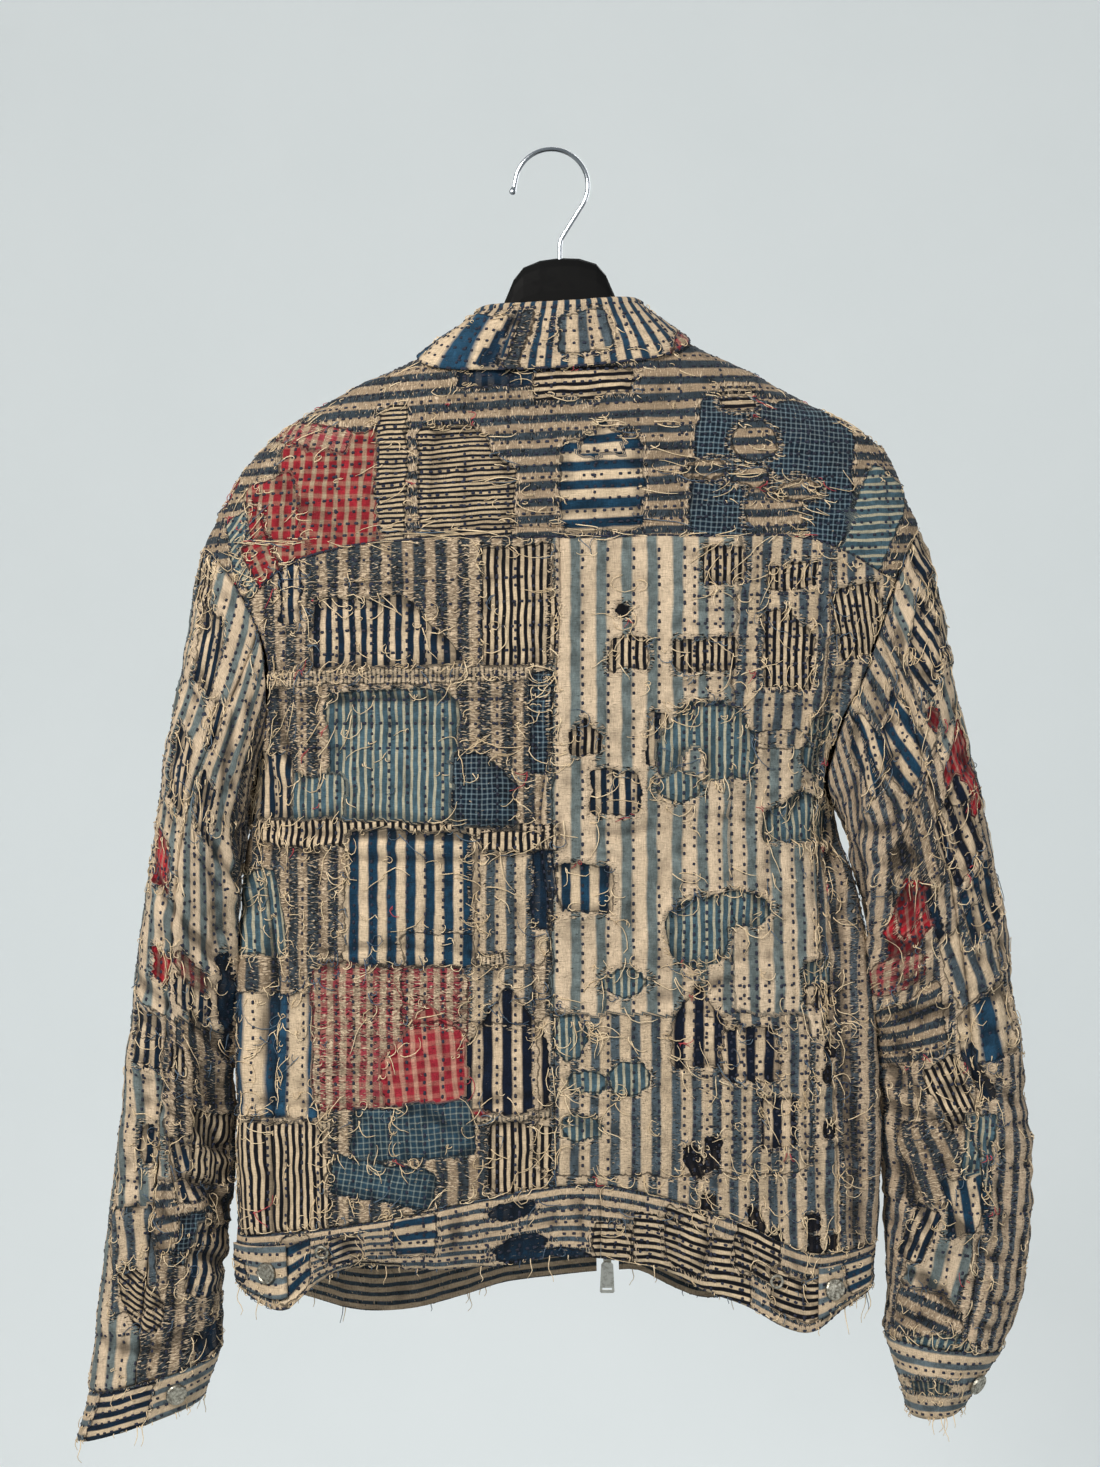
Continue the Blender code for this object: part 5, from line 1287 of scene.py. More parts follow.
def lay(rows: list, pieces: list[ClothPiece], front: bool) -> list[Placed]:
    """Lays patches or creases on the pieces of a zone.

    Args:
        rows: the patches or creases, placed as they are seen.
        pieces: the zone's pieces.
        front: whether the zone faces away from the viewer.

    Returns:
        Each with its place round and down the cloth.
    """
    placed = []
    for row in rows:
        found = [(*piece.find(row.x, row.z, front), piece) for piece in pieces]
        _, spot, piece = min(found, key=lambda item: item[0])
        normal = piece.normal[spot]
        facing = abs(normal[1]) / max(math.hypot(normal[0], normal[1]), 1e-6)
        placed.append(Placed(row, piece.around[spot], piece.down[spot], 1 / max(facing, 0.55)))
    return placed


def odd(length: float, cell: float) -> int:
    """Gives an odd number of points that lie about `cell` apart along a length."""
    return 2 * max(2, round(length / cell / 2)) + 1


def make_mesh(name: str, points: Grid, faces: list, material: Material,
        body: str = "jacket") -> bpy.types.Object:
    """Makes a smooth mesh object that rides on a body.

    Args:
        name: the object's name.
        points: its points, in millimetres.
        faces: its faces, as lists of point numbers.
        material: its finish.
        body: the body that it moves with.

    Returns:
        The object.
    """
    mesh = bpy.data.meshes.new(name)
    mesh.from_pydata((points * MM).tolist(), [], faces)
    mesh.materials.append(material)
    mesh.shade_smooth()
    made = bpy.data.objects.new(name, mesh)
    bpy.context.scene.collection.objects.link(made)
    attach(made, body)
    log.info("%s: %d points, %d faces", name, len(points), len(faces))
    return made


def shell_faces(rows: int, columns: int) -> list:
    """Gives the faces of a thin closed shell.

    Args:
        rows: rows of its outer face. The inner face has every second row.
        columns: columns of its outer face, likewise.

    Returns:
        Faces whose points count the outer ones first.
    """
    outer = np.arange(rows * columns).reshape(rows, columns)
    inner = np.arange(outer[::2, ::2].size).reshape(outer[::2, ::2].shape) + rows * columns
    quads = np.stack([outer[:-1, :-1], outer[1:, :-1], outer[1:, 1:], outer[:-1, 1:]], axis=-1).reshape(-1,
        4)
    under = np.stack([inner[:-1, :-1], inner[:-1, 1:], inner[1:, 1:], inner[1:, :-1]], axis=-1).reshape(-1,
        4)
    faces = quads.tolist() + under.tolist()
    for line, below in ((outer[0], inner[0]), (outer[:, -1], inner[:, -1]),
            (outer[-1][::-1], inner[-1][::-1]), (outer[::-1, 0], inner[::-1, 0])):
        for k in range(len(below) - 1):
            faces.append([int(line[2 * k]), int(line[2 * k + 1]), int(line[2 * k + 2]), int(below[k + 1]),
                int(below[k])])
    return faces


def soften(grid: Grid, reach: int) -> Grid:
    """Gives each point the mean of the points up to `reach` rows and columns away."""
    for axis in (0, 1):
        edge = [(reach, reach) if at == axis else (0, 0) for at in (0, 1)]
        padded = np.pad(grid, edge, mode="edge")
        size = grid.shape[axis]
        grid = sum(np.take(padded, np.arange(step, step + size), axis) for step in range(2 * reach + 1))
        grid = grid / (2 * reach + 1)
    return grid


@dataclass
class Tailor:
    """Presses creases, puckers and patches into a zone's pieces, and marks what each
    point of them is made of."""

    zone: Zone
    pieces: list[ClothPiece]
    lip: float = 1.7            # how proud a torn edge stands
    edge_wander: float = 2.6    # how far a torn edge strays from its outline
    overlap: float = 1.3        # how much a patch is cut larger than its place
    seam_gap: float = 0.15
    crease_depth: float = 1.6
    pinch: float = 0.5          # how deep a row of stitches pulls the cloth in

    def work(self) -> None:
        """Does the whole zone."""
        front = self.zone is Zone.FRONT
        fields = lay(FIELDS.get(self.zone, []), self.pieces, front)
        patches = lay(PATCHES.get(self.zone, []), self.pieces, front)
        creases = lay(CREASES.get(self.zone, []), self.pieces, front)
        for piece in self.pieces:
            self.mark(piece, fields, patches)
            self.press(piece, fields, patches, creases)

    def rims(self, piece: ClothPiece, placed: list[Placed]) -> tuple[Grid, Grid]:
        """Gives the distance to each patch's outline, torn edges included."""
        wander = self.edge_wander * noise(piece.form, 13.0, 5) + 1.2 * noise(piece.form, 5.0, 9)
        rims = np.full((len(placed) + 1, *piece.around.shape), FAR)
        for k, item in enumerate(placed):
            p, q = item.local(piece.around, piece.down)
            width = item.what.width * item.stretch
            near = np.hypot(p, q) < max(width, item.what.height) + FAR
            rims[k] = np.where(near, item.what.distance(p, q, width) + wander - self.overlap, FAR)
        within = rims < 0
        upper = len(rims) - 1 - within[::-1].argmax(axis=0)
        chosen = np.where(within.any(axis=0), upper, rims.argmin(axis=0))
        return np.take_along_axis(rims, chosen[None], axis=0)[0], chosen

    def mark(self, piece: ClothPiece, fields: list[Placed], patches: list[Placed]) -> None:
        """Writes down the base, field and patch cotton of each point."""
        self.note(piece, "base", [piece.fabric.value], [piece.turn], np.zeros(piece.around.shape, int),
            [(0.0, 0.0)])
        for layer, placed in (("field", fields), ("patch", patches)):
            rim, nearest = self.rims(piece, placed)
            nearest = np.minimum(nearest, max(len(placed) - 1, 0))
            weaves = [item.what.fabric.value for item in placed] or [piece.fabric.value]
            turns = [item.what.turn - item.what.lean for item in placed] or [0.0]
            middles = [(item.around, item.down) for item in placed] or [(0.0, 0.0)]
            self.note(piece, layer, weaves, turns, nearest, middles)
            piece.marks[f"{layer}_rim"] = rim
            piece.nearest[layer] = nearest

    def note(self, piece: ClothPiece, layer: str, weaves: list[Weave], turns: list[float], nearest: Grid,
            middles: list[tuple[float, float]]) -> None:
        """Writes one layer's grain, weave and colours at each point."""
        angle = np.radians(np.array(turns))[nearest]
        middle = np.array(middles)[nearest]
        a, b = piece.around - middle[..., 0], piece.down - middle[..., 1]
        s = a * np.cos(angle) + b * np.sin(angle)
        t = b * np.cos(angle) - a * np.sin(angle)
        wear = np.array([weave.wear for weave in weaves])[nearest]
        swing = 0.22 * noise(piece.form, 55.0, 3) + 0.12 * noise(piece.form, 20.0, 4)
        wear = np.clip(wear + swing * (0.4 + wear), 0.02, 1.0)
        piece.marks[f"{layer}_grain"] = np.stack([s, t, wear], axis=-1)
        piece.marks[f"{layer}_weave"] = np.array([(w.pitch, w.share, w.check) for w in weaves])[nearest]
        for part in ("ground", "stripe"):
            piece.marks[f"{layer}_{part}"] = np.array([linear(getattr(w, part))[:3]
                for w in weaves])[nearest]

    def press(self, piece: ClothPiece, fields: list[Placed], patches: list[Placed],
            creases: list[Placed]) -> None:
        """Works out how far each point moves along its normal, and moves it."""
        relief = np.zeros(piece.around.shape)
        for layer, placed in (("field", fields), ("patch", patches)):
            if not placed:
                continue
            rim = piece.marks[f"{layer}_rim"]
            depth = np.array([item.what.depth for item in placed])[piece.nearest[layer]]
            torn = np.clip(depth, 0, 1)
            relief -= 1.5 * depth * fade(rim, 1.0, -1.6)
            ragged = 1 + 0.7 * noise(piece.form, 6.0, 31)
            relief += self.lip * torn * ragged * np.exp(-((rim - 2.6) / 2.2) ** 2)
            relief += 0.5 * (depth < 0) * np.exp(-((rim + 1.5) / 1.6) ** 2)
        for item in creases:
            crease = item.what
            p, q = item.local(piece.around, piece.down)
            along = np.clip(np.abs(q) / (crease.length / 2), 0, 1)
            p = p - crease.bow * (1 - along ** 2) + 1.2 * noise(piece.form, 16.0, 11)
            width = crease.width * (0.7 + 0.5 * (1 - along))
            trough = np.exp(-(p / width) ** 2) - 0.45 * np.exp(-((np.abs(p) - 1.9 * width) / width) ** 2)
            relief -= self.crease_depth * crease.depth * trough * (1 - along ** 2) ** 0.8
        wear = piece.marks["base_grain"][..., 2]
        rough = piece.rough * (0.55 + 0.6 * wear)
        relief += rough * (1.3 * noise(piece.form, 27.0, 21) + 0.85 * noise(piece.form, 11.0, 22) + 0.5
            * noise(piece.form, 5.4, 23))
        for plan in STITCH_ROWS:
            if plan.zone is piece.zone:
                value = (piece.down if plan.across else piece.around) - plan.offset
                off = (value + plan.spacing / 2) % plan.spacing - plan.spacing / 2
                relief -= self.pinch * rough * plan.holds(piece.form) * np.exp(-(off / 1.7) ** 2)
        relief += 0.55 * piece.rough * np.exp(-((piece.border - 4.5) / 2.6) ** 2)
        relief -= 0.7 * piece.rough * np.exp(-(piece.border / 1.6) ** 2)
        relief = np.clip(relief, piece.lowest, piece.highest)
        for spot, reach in piece.still:
            relief *= fade(norm(piece.form - spot), reach * 0.7, reach * 1.6)
        # Painted shade: the hollows of the relief are marked, to be darkened in the cloth's colour, with a
        # faint darkening everywhere.
        hollow = soften(relief, 4) - relief
        piece.marks["hollow"] = np.clip(0.02 + 0.48 * hollow, 0.0, 0.72)
        base = self.pull_in(piece.form, self.seam_gap)
        piece.surface = base + piece.normal * relief[..., None]
        piece.facing = piece.normals(piece.surface)

    def pull_in(self, points: Grid, gap: float) -> Grid:
        """Moves a piece's border inwards, so that neighbours don't touch."""
        moved = points.copy()
        for line, inside in ((np.s_[0], np.s_[1]), (np.s_[-1], np.s_[-2]), (np.s_[:, 0], np.s_[:, 1]),
                (np.s_[:, -1], np.s_[:, -2])):
            moved[line] += unit(points[inside] - points[line]) * gap
        return moved


# ---- stitches and threads

@dataclass(frozen=True)
class CottonThread:
    """Spun cotton: matt, with the twist of its plies seen as fine light and dark."""

    name: str
    colour: str
    shade: str
    roughness: float = 0.85
    twist: float = 1.2          # millimetres from one ply to the next; drawn coarse, to show

    def make(self) -> Material:
        """Makes the thread's material."""
        finish = Finish(self.name)
        add, place = finish.add, finish.place
        ply = add("TexNoise", Vector=place, Scale=1000 / self.twist, Detail=2.0)
        patchy = add("TexNoise", Vector=place, Scale=60.0, Detail=2.0)
        mixed = add("Math", ply, patchy, operation="ADD")
        share = add("MapRange", Value=mixed, From_Min=0.75, From_Max=1.25)
        colour = add("Mix", at={0: share, 6: linear(self.colour), 7: linear(self.shade)}, out=2,
            data_type="RGBA")
        bump = add("Bump", Height=ply, Strength=0.4, Distance=0.0002)
        return finish.wire({"Base Color": colour, "Normal": bump, "Roughness": self.roughness})


class StitchRows(NamedTuple):
    """Rows of running stitches on a zone: whether they run across, how far apart they
    lie, and the window that is seen to hold them (left, right, lowest, highest)."""

    zone: Zone
    across: bool
    spacing: float
    window: tuple[float, float, float, float] = (-400, 400, -1000, 0)
    offset: float = 0.0

    def holds(self, points: Grid) -> Grid:
        """Tells which points lie in its window."""
        x, z = np.moveaxis(seen(points), -1, 0)
        left, right, low, high = self.window
        return (x > left) & (x < right) & (z > low) & (z < high)


STITCH_ROWS = rows(StitchRows, (Z.YOKE, True, 8.2), (Z.YOKE, False, 30.0),
    (Z.BACK, False, 12.5, (-260, -2, -800, -280)), (Z.BACK, False, 17.6, (2, 96, -800, -280), 3.8),
    (Z.BACK, False, 8.8, (96, 260, -800, -280), 2.0), (Z.BACK, True, 9.0, (99, 222, -400, -281)),
    (Z.BACK, True, 8.8, (99, 222, -730, -591)), (Z.BACK, True, 17.0, (-240, -4, -440, -290)),
    (Z.BAND, True, 8.5), (Z.BAND, False, 22.0), (Z.FRONT, False, 15.0), (Z.FRONT, True, 30.0),
    (Z.SLEEVE_LEFT, False, 11.0), (Z.SLEEVE_LEFT, True, 34.0), (Z.SLEEVE_RIGHT, False, 11.5),
    (Z.SLEEVE_RIGHT, True, 30.0), (Z.CUFF_LEFT, True, 8.0), (Z.CUFF_RIGHT, True, 8.0),
    (Z.COLLAR, True, 9.0), (Z.COLLAR, False, 24.0), (Z.TAB_LEFT, True, 7.0), (Z.TAB_RIGHT, True, 7.0))


@dataclass
class Sashiko:
    """Running stitches in thick navy thread, as joined meshes."""

    pitch: float = 6.2
    length: float = 3.5
    width: float = 1.9
    height: float = 0.8
    missing: float = 0.10
    seed: int = 41

    def __post_init__(self) -> None:
        """Starts the seeded draws."""
        self.draw = np.random.default_rng(self.seed)

    def rows(self, piece: ClothPiece, plan: StitchRows) -> list[tuple[Grid, Grid]]:
        """Traces the rows of stitches over a piece.

        Args:
            piece: the cloth that they run over.
            plan: which way they run and how far apart.

        Returns:
            Each row's places, by grid row and grid column.
        """
        values = piece.down if plan.across else piece.around
        steps = np.arange(math.floor(values.min() / plan.spacing),
            math.ceil(values.max() / plan.spacing) + 1)
        traced = []
        for level in steps * plan.spacing + plan.offset:
            places = []
            lines = values.T if plan.across else values
            for k, line in enumerate(lines):
                order = line if line[-1] > line[0] else line[::-1]
                if not order[0] <= level <= order[-1]:
                    continue
                at = float(np.interp(level, order, np.arange(len(order))))
                places.append((k, at if line[-1] > line[0] else len(line) - 1 - at))
            if len(places) > 4:
                k, at = np.array(places).T
                traced.append((at, k) if plan.across else (k, at))
        return traced

    def spots(self, piece: ClothPiece, plan: StitchRows) -> Grid:
        """Gives the grid places of each stitch's two ends."""
        found = []
        for row, col in self.rows(piece, plan):
            reach = run_along(sample(piece.surface, row, col), 0)
            count = int(reach[-1] / self.pitch)
            if count < 2:
                continue
            start = (np.arange(count) + self.draw.uniform(0.1, 0.4)) * self.pitch
            start += self.draw.uniform(-0.7, 0.7, count)
            end = start + self.length * self.draw.uniform(0.75, 1.2, count)
            sway = self.draw.uniform(-0.5, 0.5, count)
            keep = (end < reach[-1] - 1) & (start > 1) & (self.draw.random(count) > self.missing)
            ends = [np.stack([np.interp(at, reach, row), np.interp(at, reach, col)], axis=-1)
                for at in (start, end)]
            ends[1][:, 0 if plan.across else 1] += sway / (piece.cell_row if plan.across
                else piece.cell_col)
            spot = np.stack(ends, axis=1)[keep]
            found.append(spot[plan.holds(sample(piece.surface, spot[:, 0, 0], spot[:, 0, 1]))])
        return np.concatenate(found) if found else np.zeros((0, 2, 2))

    def capsules(self, piece: ClothPiece, spots: Grid) -> tuple[Grid, list]:
        """Makes one plump stitch at each spot, its ends sunk in the cloth."""
        start = sample(piece.surface, spots[:, 0, 0], spots[:, 0, 1])
        end = sample(piece.surface, spots[:, 1, 0], spots[:, 1, 1])
        middle = spots.mean(axis=1)
        normal = sample(piece.facing, middle[:, 0], middle[:, 1])
        way = end - start
        side = unit(np.cross(way, normal)) * self.width / 2
        lift = normal * self.height / 2
        parts = [start - lift * 1.4]
        for share in (0.24, 0.76):
            centre = start + way * share + lift * 0.7
            parts += [centre + side, centre + lift, centre - side, centre - lift * 1.6]
        parts.append(end - lift * 1.4)
        points = np.stack(parts, axis=1)
        faces = [(0, 1, 2), (0, 2, 3), (0, 3, 4), (0, 4, 1)]
        faces += [(1 + k, 5 + k, 5 + (k + 1) % 4, 1 + (k + 1) % 4) for k in range(4)]
        faces += [(9, 6, 5), (9, 7, 6), (9, 8, 7), (9, 5, 8)]
        numbered = [[corner + 10 * n for corner in face] for n in range(len(spots)) for face in faces]
        return points.reshape(-1, 3), numbered

    def sew(self, name: str, pieces: list[ClothPiece], material: Material) -> bpy.types.Object:
        """Sews the pieces of some zones and joins their stitches to one mesh."""
        points, faces, count = [], [], 0
        for piece in pieces:
            for plan in STITCH_ROWS:
                if plan.zone is not piece.zone:
                    continue
                made, joined = self.capsules(piece, self.spots(piece, plan))
                faces += [[corner + count for corner in face] for face in joined]
                points.append(made)
                count += len(made)
        return make_mesh(name, np.concatenate(points), faces, material)


@dataclass
class LooseThreads:
    """Frayed warp and weft ends that lie over the cloth or hang from its edges."""

    rings: int = 7
    radius: float = 0.42
    tuft: int = 2               # how many start at one place
    seed: int = 77
    rim_share: float = 2.2
    curl: float = 0.42

    def __post_init__(self) -> None:
        """Starts the seeded draws."""
        self.draw = np.random.default_rng(self.seed)

    def roots(self, piece: ClothPiece, count: int) -> Grid:
        """Chooses where threads start: near torn edges, seams and worn cloth."""
        rim = np.minimum(np.abs(piece.marks["patch_rim"]), np.abs(piece.marks["field_rim"]) * 1.6 + 1)
        weight = self.rim_share * np.exp(-(rim / 3.6) ** 2) + 0.9 * np.exp(-(piece.border / 5.0) ** 2)
        weight *= 0.3 + piece.marks["base_grain"][..., 2]
        weight += 0.3 * piece.marks["base_grain"][..., 2] ** 2 + 0.01
        picked = self.draw.choice(weight.size, -(-count // self.tuft), p=(weight / weight.sum()).ravel())
        spots = np.stack(np.unravel_index(picked, weight.shape), axis=-1).astype(float)
        return np.repeat(spots, self.tuft, axis=0)[:count] + self.draw.uniform(-1.1, 1.1, (count, 2))

    def paths(self, piece: ClothPiece, count: int, longest: float) -> Grid:
        """Walks curly paths over the cloth.

        Args:
            piece: the cloth that they lie on.
            count: how many threads.
            longest: the longest, in millimetres.

        Returns:
            Points by thread and ring.
        """
        spots = self.roots(piece, count)
        heading = self.draw.uniform(0, 2 * math.pi, count)
        downwards = self.draw.random(count) < 0.55
        heading = np.repeat(heading, self.tuft)[:count] + self.draw.normal(0, 0.7, count)
        heading = np.where(downwards, math.pi / 2 + self.draw.normal(0, 0.5, count), heading)
        curl = self.draw.normal(0, self.curl, count)
        step = longest * self.draw.beta(1.3, 3.0, count).clip(0.12) / (self.rings - 1)
        lift = self.draw.uniform(0.2, 0.6, count)
        arch = self.draw.uniform(0.1, 1.6, count)
        points = []
        for k in range(self.rings):
            share = k / (self.rings - 1)
            surface = sample(piece.surface, spots[:, 0], spots[:, 1])
            normal = sample(piece.facing, spots[:, 0], spots[:, 1])
            height = -0.3 + (lift + 0.3) * min(1.0, share * 4) + arch * math.sin(math.pi * share)
            points.append(surface + normal * height[:, None])
            heading = heading + curl + self.draw.normal(0, 0.22, count)
            spots = spots + np.stack([np.sin(heading) * step / piece.cell_row,
                np.cos(heading) * step / piece.cell_col], axis=-1)
            limit = np.array(piece.around.shape) - 1.001
            spots = np.clip(spots, 0, limit)
        return np.stack(points, axis=1)

    def hanging(self, piece: ClothPiece, count: int, longest: float) -> Grid:
        """Lets threads hang from a piece's lower edge."""
        last = piece.surface.shape[0] - 1
        columns = self.draw.uniform(0, piece.surface.shape[1] - 1.01, count)
        root = sample(piece.surface, np.full(count, last - 0.6), columns)
        out = sample(piece.facing, np.full(count, last - 0.6), columns)
        length = longest * self.draw.beta(1.2, 3.5, count).clip(0.08)
        turn, wave = self.draw.uniform(0, 6.28, count), self.draw.uniform(0.4, 1.6, count)
        points = []
        for k in range(self.rings):
            share = k / (self.rings - 1)
            sway = np.stack([np.sin(turn + share * 4 * wave), np.cos(turn * 1.7 + share * 3 * wave),
                np.zeros(count)], axis=-1) * (length * 0.16 * share)[:, None]
            drop = np.array([0, 0, -1.0]) * (length * share)[:, None]
            points.append(root + out * (0.3 + 1.2 * math.sin(math.pi * min(1, share * 1.3))) + sway + drop)
        return np.stack(points, axis=1)

    def tubes(self, paths: Grid) -> tuple[Grid, list]:
        """Puts a thin three-sided tube on each path, closed at both ends."""
        way = unit(np.gradient(paths, axis=1))
        side = unit(np.cross(way, np.array([0.31, 0.87, 0.38])))
        other = np.cross(way, side)
        share = np.linspace(0, 1, self.rings)[None, :, None]
        radius = self.radius * (1.0 - 0.45 * share)
        corners = [paths + radius * (side * math.cos(a) + other * math.sin(a)) for a in (0, 2.094, 4.189)]
        points = np.stack(corners, axis=2)
        faces = [(3 * r + k, 3 * r + 3 + k, 3 * r + 3 + (k + 1) % 3, 3 * r + (k + 1) % 3)
            for r in range(self.rings - 1) for k in range(3)]
        faces += [(0, 1, 2), (3 * self.rings - 1, 3 * self.rings - 2, 3 * self.rings - 3)]
        size = 3 * self.rings
        numbered = (np.array([f for f in faces if len(f) == 4])[None] + size * np.arange(len(paths))[:,
            None, None])
        caps = (np.array([f for f in faces if len(f) == 3])[None] + size * np.arange(len(paths))[:, None,
            None])
        return points.reshape(-1, 3), numbered.reshape(-1, 4).tolist() + caps.reshape(-1, 3).tolist()


class FraySet(NamedTuple):
    """Threads of one colour on one zone: how many lie there, how many hang, how long."""

    zone: Zone
    colour: str
    lying: int
    hanging: int
    longest: float


FRAYS = rows(FraySet, (Z.YOKE, "cream", 480, 0, 32), (Z.YOKE, "blue", 90, 0, 26),
    (Z.BACK, "cream", 1800, 0, 38), (Z.BACK, "blue", 420, 0, 32), (Z.BAND, "cream", 160, 46, 30),
    (Z.BAND, "blue", 60, 14, 24), (Z.SLEEVE_LEFT, "cream", 520, 0, 32), (Z.SLEEVE_LEFT, "blue", 130, 0, 28),
    (Z.SLEEVE_RIGHT, "cream", 620, 0, 32), (Z.SLEEVE_RIGHT, "blue", 140, 0, 28),
    (Z.CUFF_LEFT, "cream", 34, 26, 24), (Z.CUFF_RIGHT, "cream", 34, 30, 26), (Z.COLLAR, "cream", 90, 0, 20),
    (Z.FRONT, "cream", 360, 0, 40), (Z.FRONT, "blue", 90, 0, 30), (Z.TAB_LEFT, "cream", 12, 4, 12),
    (Z.TAB_RIGHT, "cream", 12, 4, 12), (Z.BACK, "red", 60, 0, 26), (Z.YOKE, "red", 46, 0, 24),
    (Z.SLEEVE_RIGHT, "red", 30, 0, 22))


# ---- the jacket

@dataclass
class Jacket:
    """The cloth of the jacket, cut, marked, pressed, sewn and frayed."""

    cloth: float = 1.6
    band_cloth: float = 2.4
    collar_cloth: float = 1.8
    tab_cloth: float = 2.2
    tab_lift: float = 0.7
    fine: float = 2.0           # cell of the back
    middle: float = 2.5         # cell of the sleeves
    coarse: float = 4.0         # cell of the hidden front
    front_edge: float = 8.0
    band_drop: float = 52.0     # how deep the waistband is
    band_join: float = 34.0
    sleeve_seams: tuple[float, float] = (-100.0, 78.0)
    cuff_gap: float = 0.2
    trim_near: float = 14.0     # how near trim has to be to hold the cloth flat
    tab_ends: dict[int, tuple[float, float]] = field(default_factory=lambda: {-1: (-221.0, -183.0),
        1: (185.0, 222.0)})
    button_nodes: tuple[str, ...] = ("tab_button_left", "tab_button_right", "cuff_button_left",
        "cuff_button_right", "ring_stud_left", "ring_stud_right")

    def __post_init__(self) -> None:
        """Makes the forms and finds where the trim sits."""
        self.torso = TorsoForm()
        self.sleeves = {side: SleeveForm(self.torso, side) for side in SIDES}
        self.collar = CollarForm(self.torso)
        self.trim = []
        for name in self.button_nodes:
            low, high = (np.array(corner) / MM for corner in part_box(name))
            self.trim.append(((low + high) / 2, float((high - low).max()) / 2 + 2))
        self.pieces: list[ClothPiece] = []

    def add(self, name: str, zone: Zone, form: Grid, around: Grid, down: Grid, outward: int, fabric: Fabric,
            **more: object) -> ClothPiece:
        """Adds one cut piece."""
        piece = ClothPiece(name, zone, form, around, down, outward, fabric, **more)
        piece.still = [(spot, reach) for spot, reach in self.trim
            if norm(form - spot).min() < self.trim_near]
        self.pieces.append(piece)
        return piece

    def torso_piece(self, name: str, zone: Zone, edges: tuple, size: tuple[float, float], cell: float,
            fabric: Fabric, turn: float = 0.0, grain: int = 0) -> ClothPiece:
        """Cuts a piece of the torso between four edges.

        Args:
            name: the piece's name.
            zone: where its patches are listed.
            edges: its left, right, top and bottom edge.
            size: about how wide and tall it is.
            cell: the side of a cell of its mesh.
            fabric: what it is cut from.
            turn: how far its stripes are turned, in degrees.
            grain: which way its stripes follow: 0 the middle of the back, or a front's side.
        """
        u, level = region(*edges, odd(size[0], cell), odd(size[1], cell))
        form = self.torso.points(u, level)
        around = self.torso.around(u, level)
        if grain:
            around = run_along(form, 1)
            around = around - around[:, -1:] if grain > 0 else around
        piece = self.add(name, zone, form, around, -level, -1, fabric, turn=turn, thickness=self.cloth)
        on_hanger = fade(level, -330, -300) * fade(np.abs(form[..., 0] - 6), 84, 94)
        piece.lowest = -4.0 + 3.8 * on_hanger
        return piece

    def cut_torso(self) -> None:
        """Cuts the yoke, the back, the sides and the fronts."""
        t = self.torso
        back, front = ({side: partial(t.panel_side, side, hidden) for side in SIDES} for hidden in (False,
            True))
        edge = {side: partial(t.front_edge, side, self.front_edge) for side in SIDES}
        self.torso_piece("yoke_cloth", Zone.YOKE, (back[-1], back[1], t.neck_seam, t.yoke_seam), (520, 170),
            self.fine, Fabric.SHOULDER, 90)
        for side, name in SIDES.items():
            left, right = (back[side], np.zeros_like) if side < 0 else (np.zeros_like, back[side])
            self.torso_piece(f"back_cloth_{name}", Zone.BACK, (left, right, t.yoke_seam, t.band_top),
                (215, 480), self.fine, Fabric.BORO if side < 0 else Fabric.BORO_PALE)
            seams = [partial(t.side_seam, side, hidden) for hidden in (False, True)]
            angles, levels = t.curves[side, False]
            low = levels <= t.seam_start[side] + 5

            def hole(u: Grid, a: Grid = np.abs(angles[low]), v: Grid = levels[low]) -> Grid:
                """Gives the level of the armhole over the side piece."""
                reach = np.abs(u)
                return np.interp(np.where(reach <= 1, reach, 2 - reach), a, v)

            self.torso_piece(f"side_cloth_{name}", Zone.BACK, (*seams[::side], hole, t.band_top), (95, 330),
                3.2, Fabric.BORO if side < 0 else Fabric.HOMESPUN)
            sides = (edge[side], front[side]) if side < 0 else (front[side], edge[side])
            self.torso_piece(f"front_cloth_{name}", Zone.FRONT, (*sides, t.neck_seam, t.band_top),
                (230, 600), self.coarse, Fabric.BORO_PALE if side < 0 else Fabric.WIDE, grain=side)

    def cut_band(self) -> None:
        """Cuts the waistband's two halves and its two straps."""
        t = self.torso
        join = float(t.ring_angle(np.array(self.band_join), -750.0, 1))
        ends = {-1: (float(t.front_edge(-1, self.front_edge, np.array(-786.0))), join),
            1: (join, float(t.front_edge(1, self.front_edge, np.array(-786.0))))}
        for side, name in SIDES.items():
            turns, down = np.linspace(*ends[side], odd(430, 2.6)), np.linspace(0, 1, odd(46, 2.6))
            u, down = grid(turns, down)
            level = t.band_edge(u, "top") * (1 - down) + t.band_edge(u, "bottom") * down
            piece = self.add(f"waistband_cloth_{name}", Zone.BAND, t.band(u, down), t.around(u, level),
                down * self.band_drop, -1, Fabric.BAND, turn=90, thickness=self.band_cloth, rough=0.9)
            piece.highest = np.full(u.shape, 3.0)
            for low, high in self.tab_ends.values():
                x = piece.form[..., 0]
                under = (x > low - 6) & (x < high + 6) & (piece.form[..., 1] < 0)
                piece.highest = np.where(under, 0.1, piece.highest)
        for side, name in SIDES.items():
            low, high = (float(t.ring_angle(np.array(x), -790.0, side)) for x in self.tab_ends[side])
            u, down = grid(np.linspace(low, high, odd(42, 1.6)), np.linspace(0.16, 0.86, odd(34, 1.6)))
            band = t.band(u, down)
            across = t.band(u + 1e-3, down) - t.band(u - 1e-3, down)
            fall = t.band(u, down + 1e-3) - t.band(u, down - 1e-3)
            form = band + unit(-np.cross(across, fall)) * (self.tab_lift + self.tab_cloth)
            level = t.band_edge(u, "top") * (1 - down) + t.band_edge(u, "bottom") * down
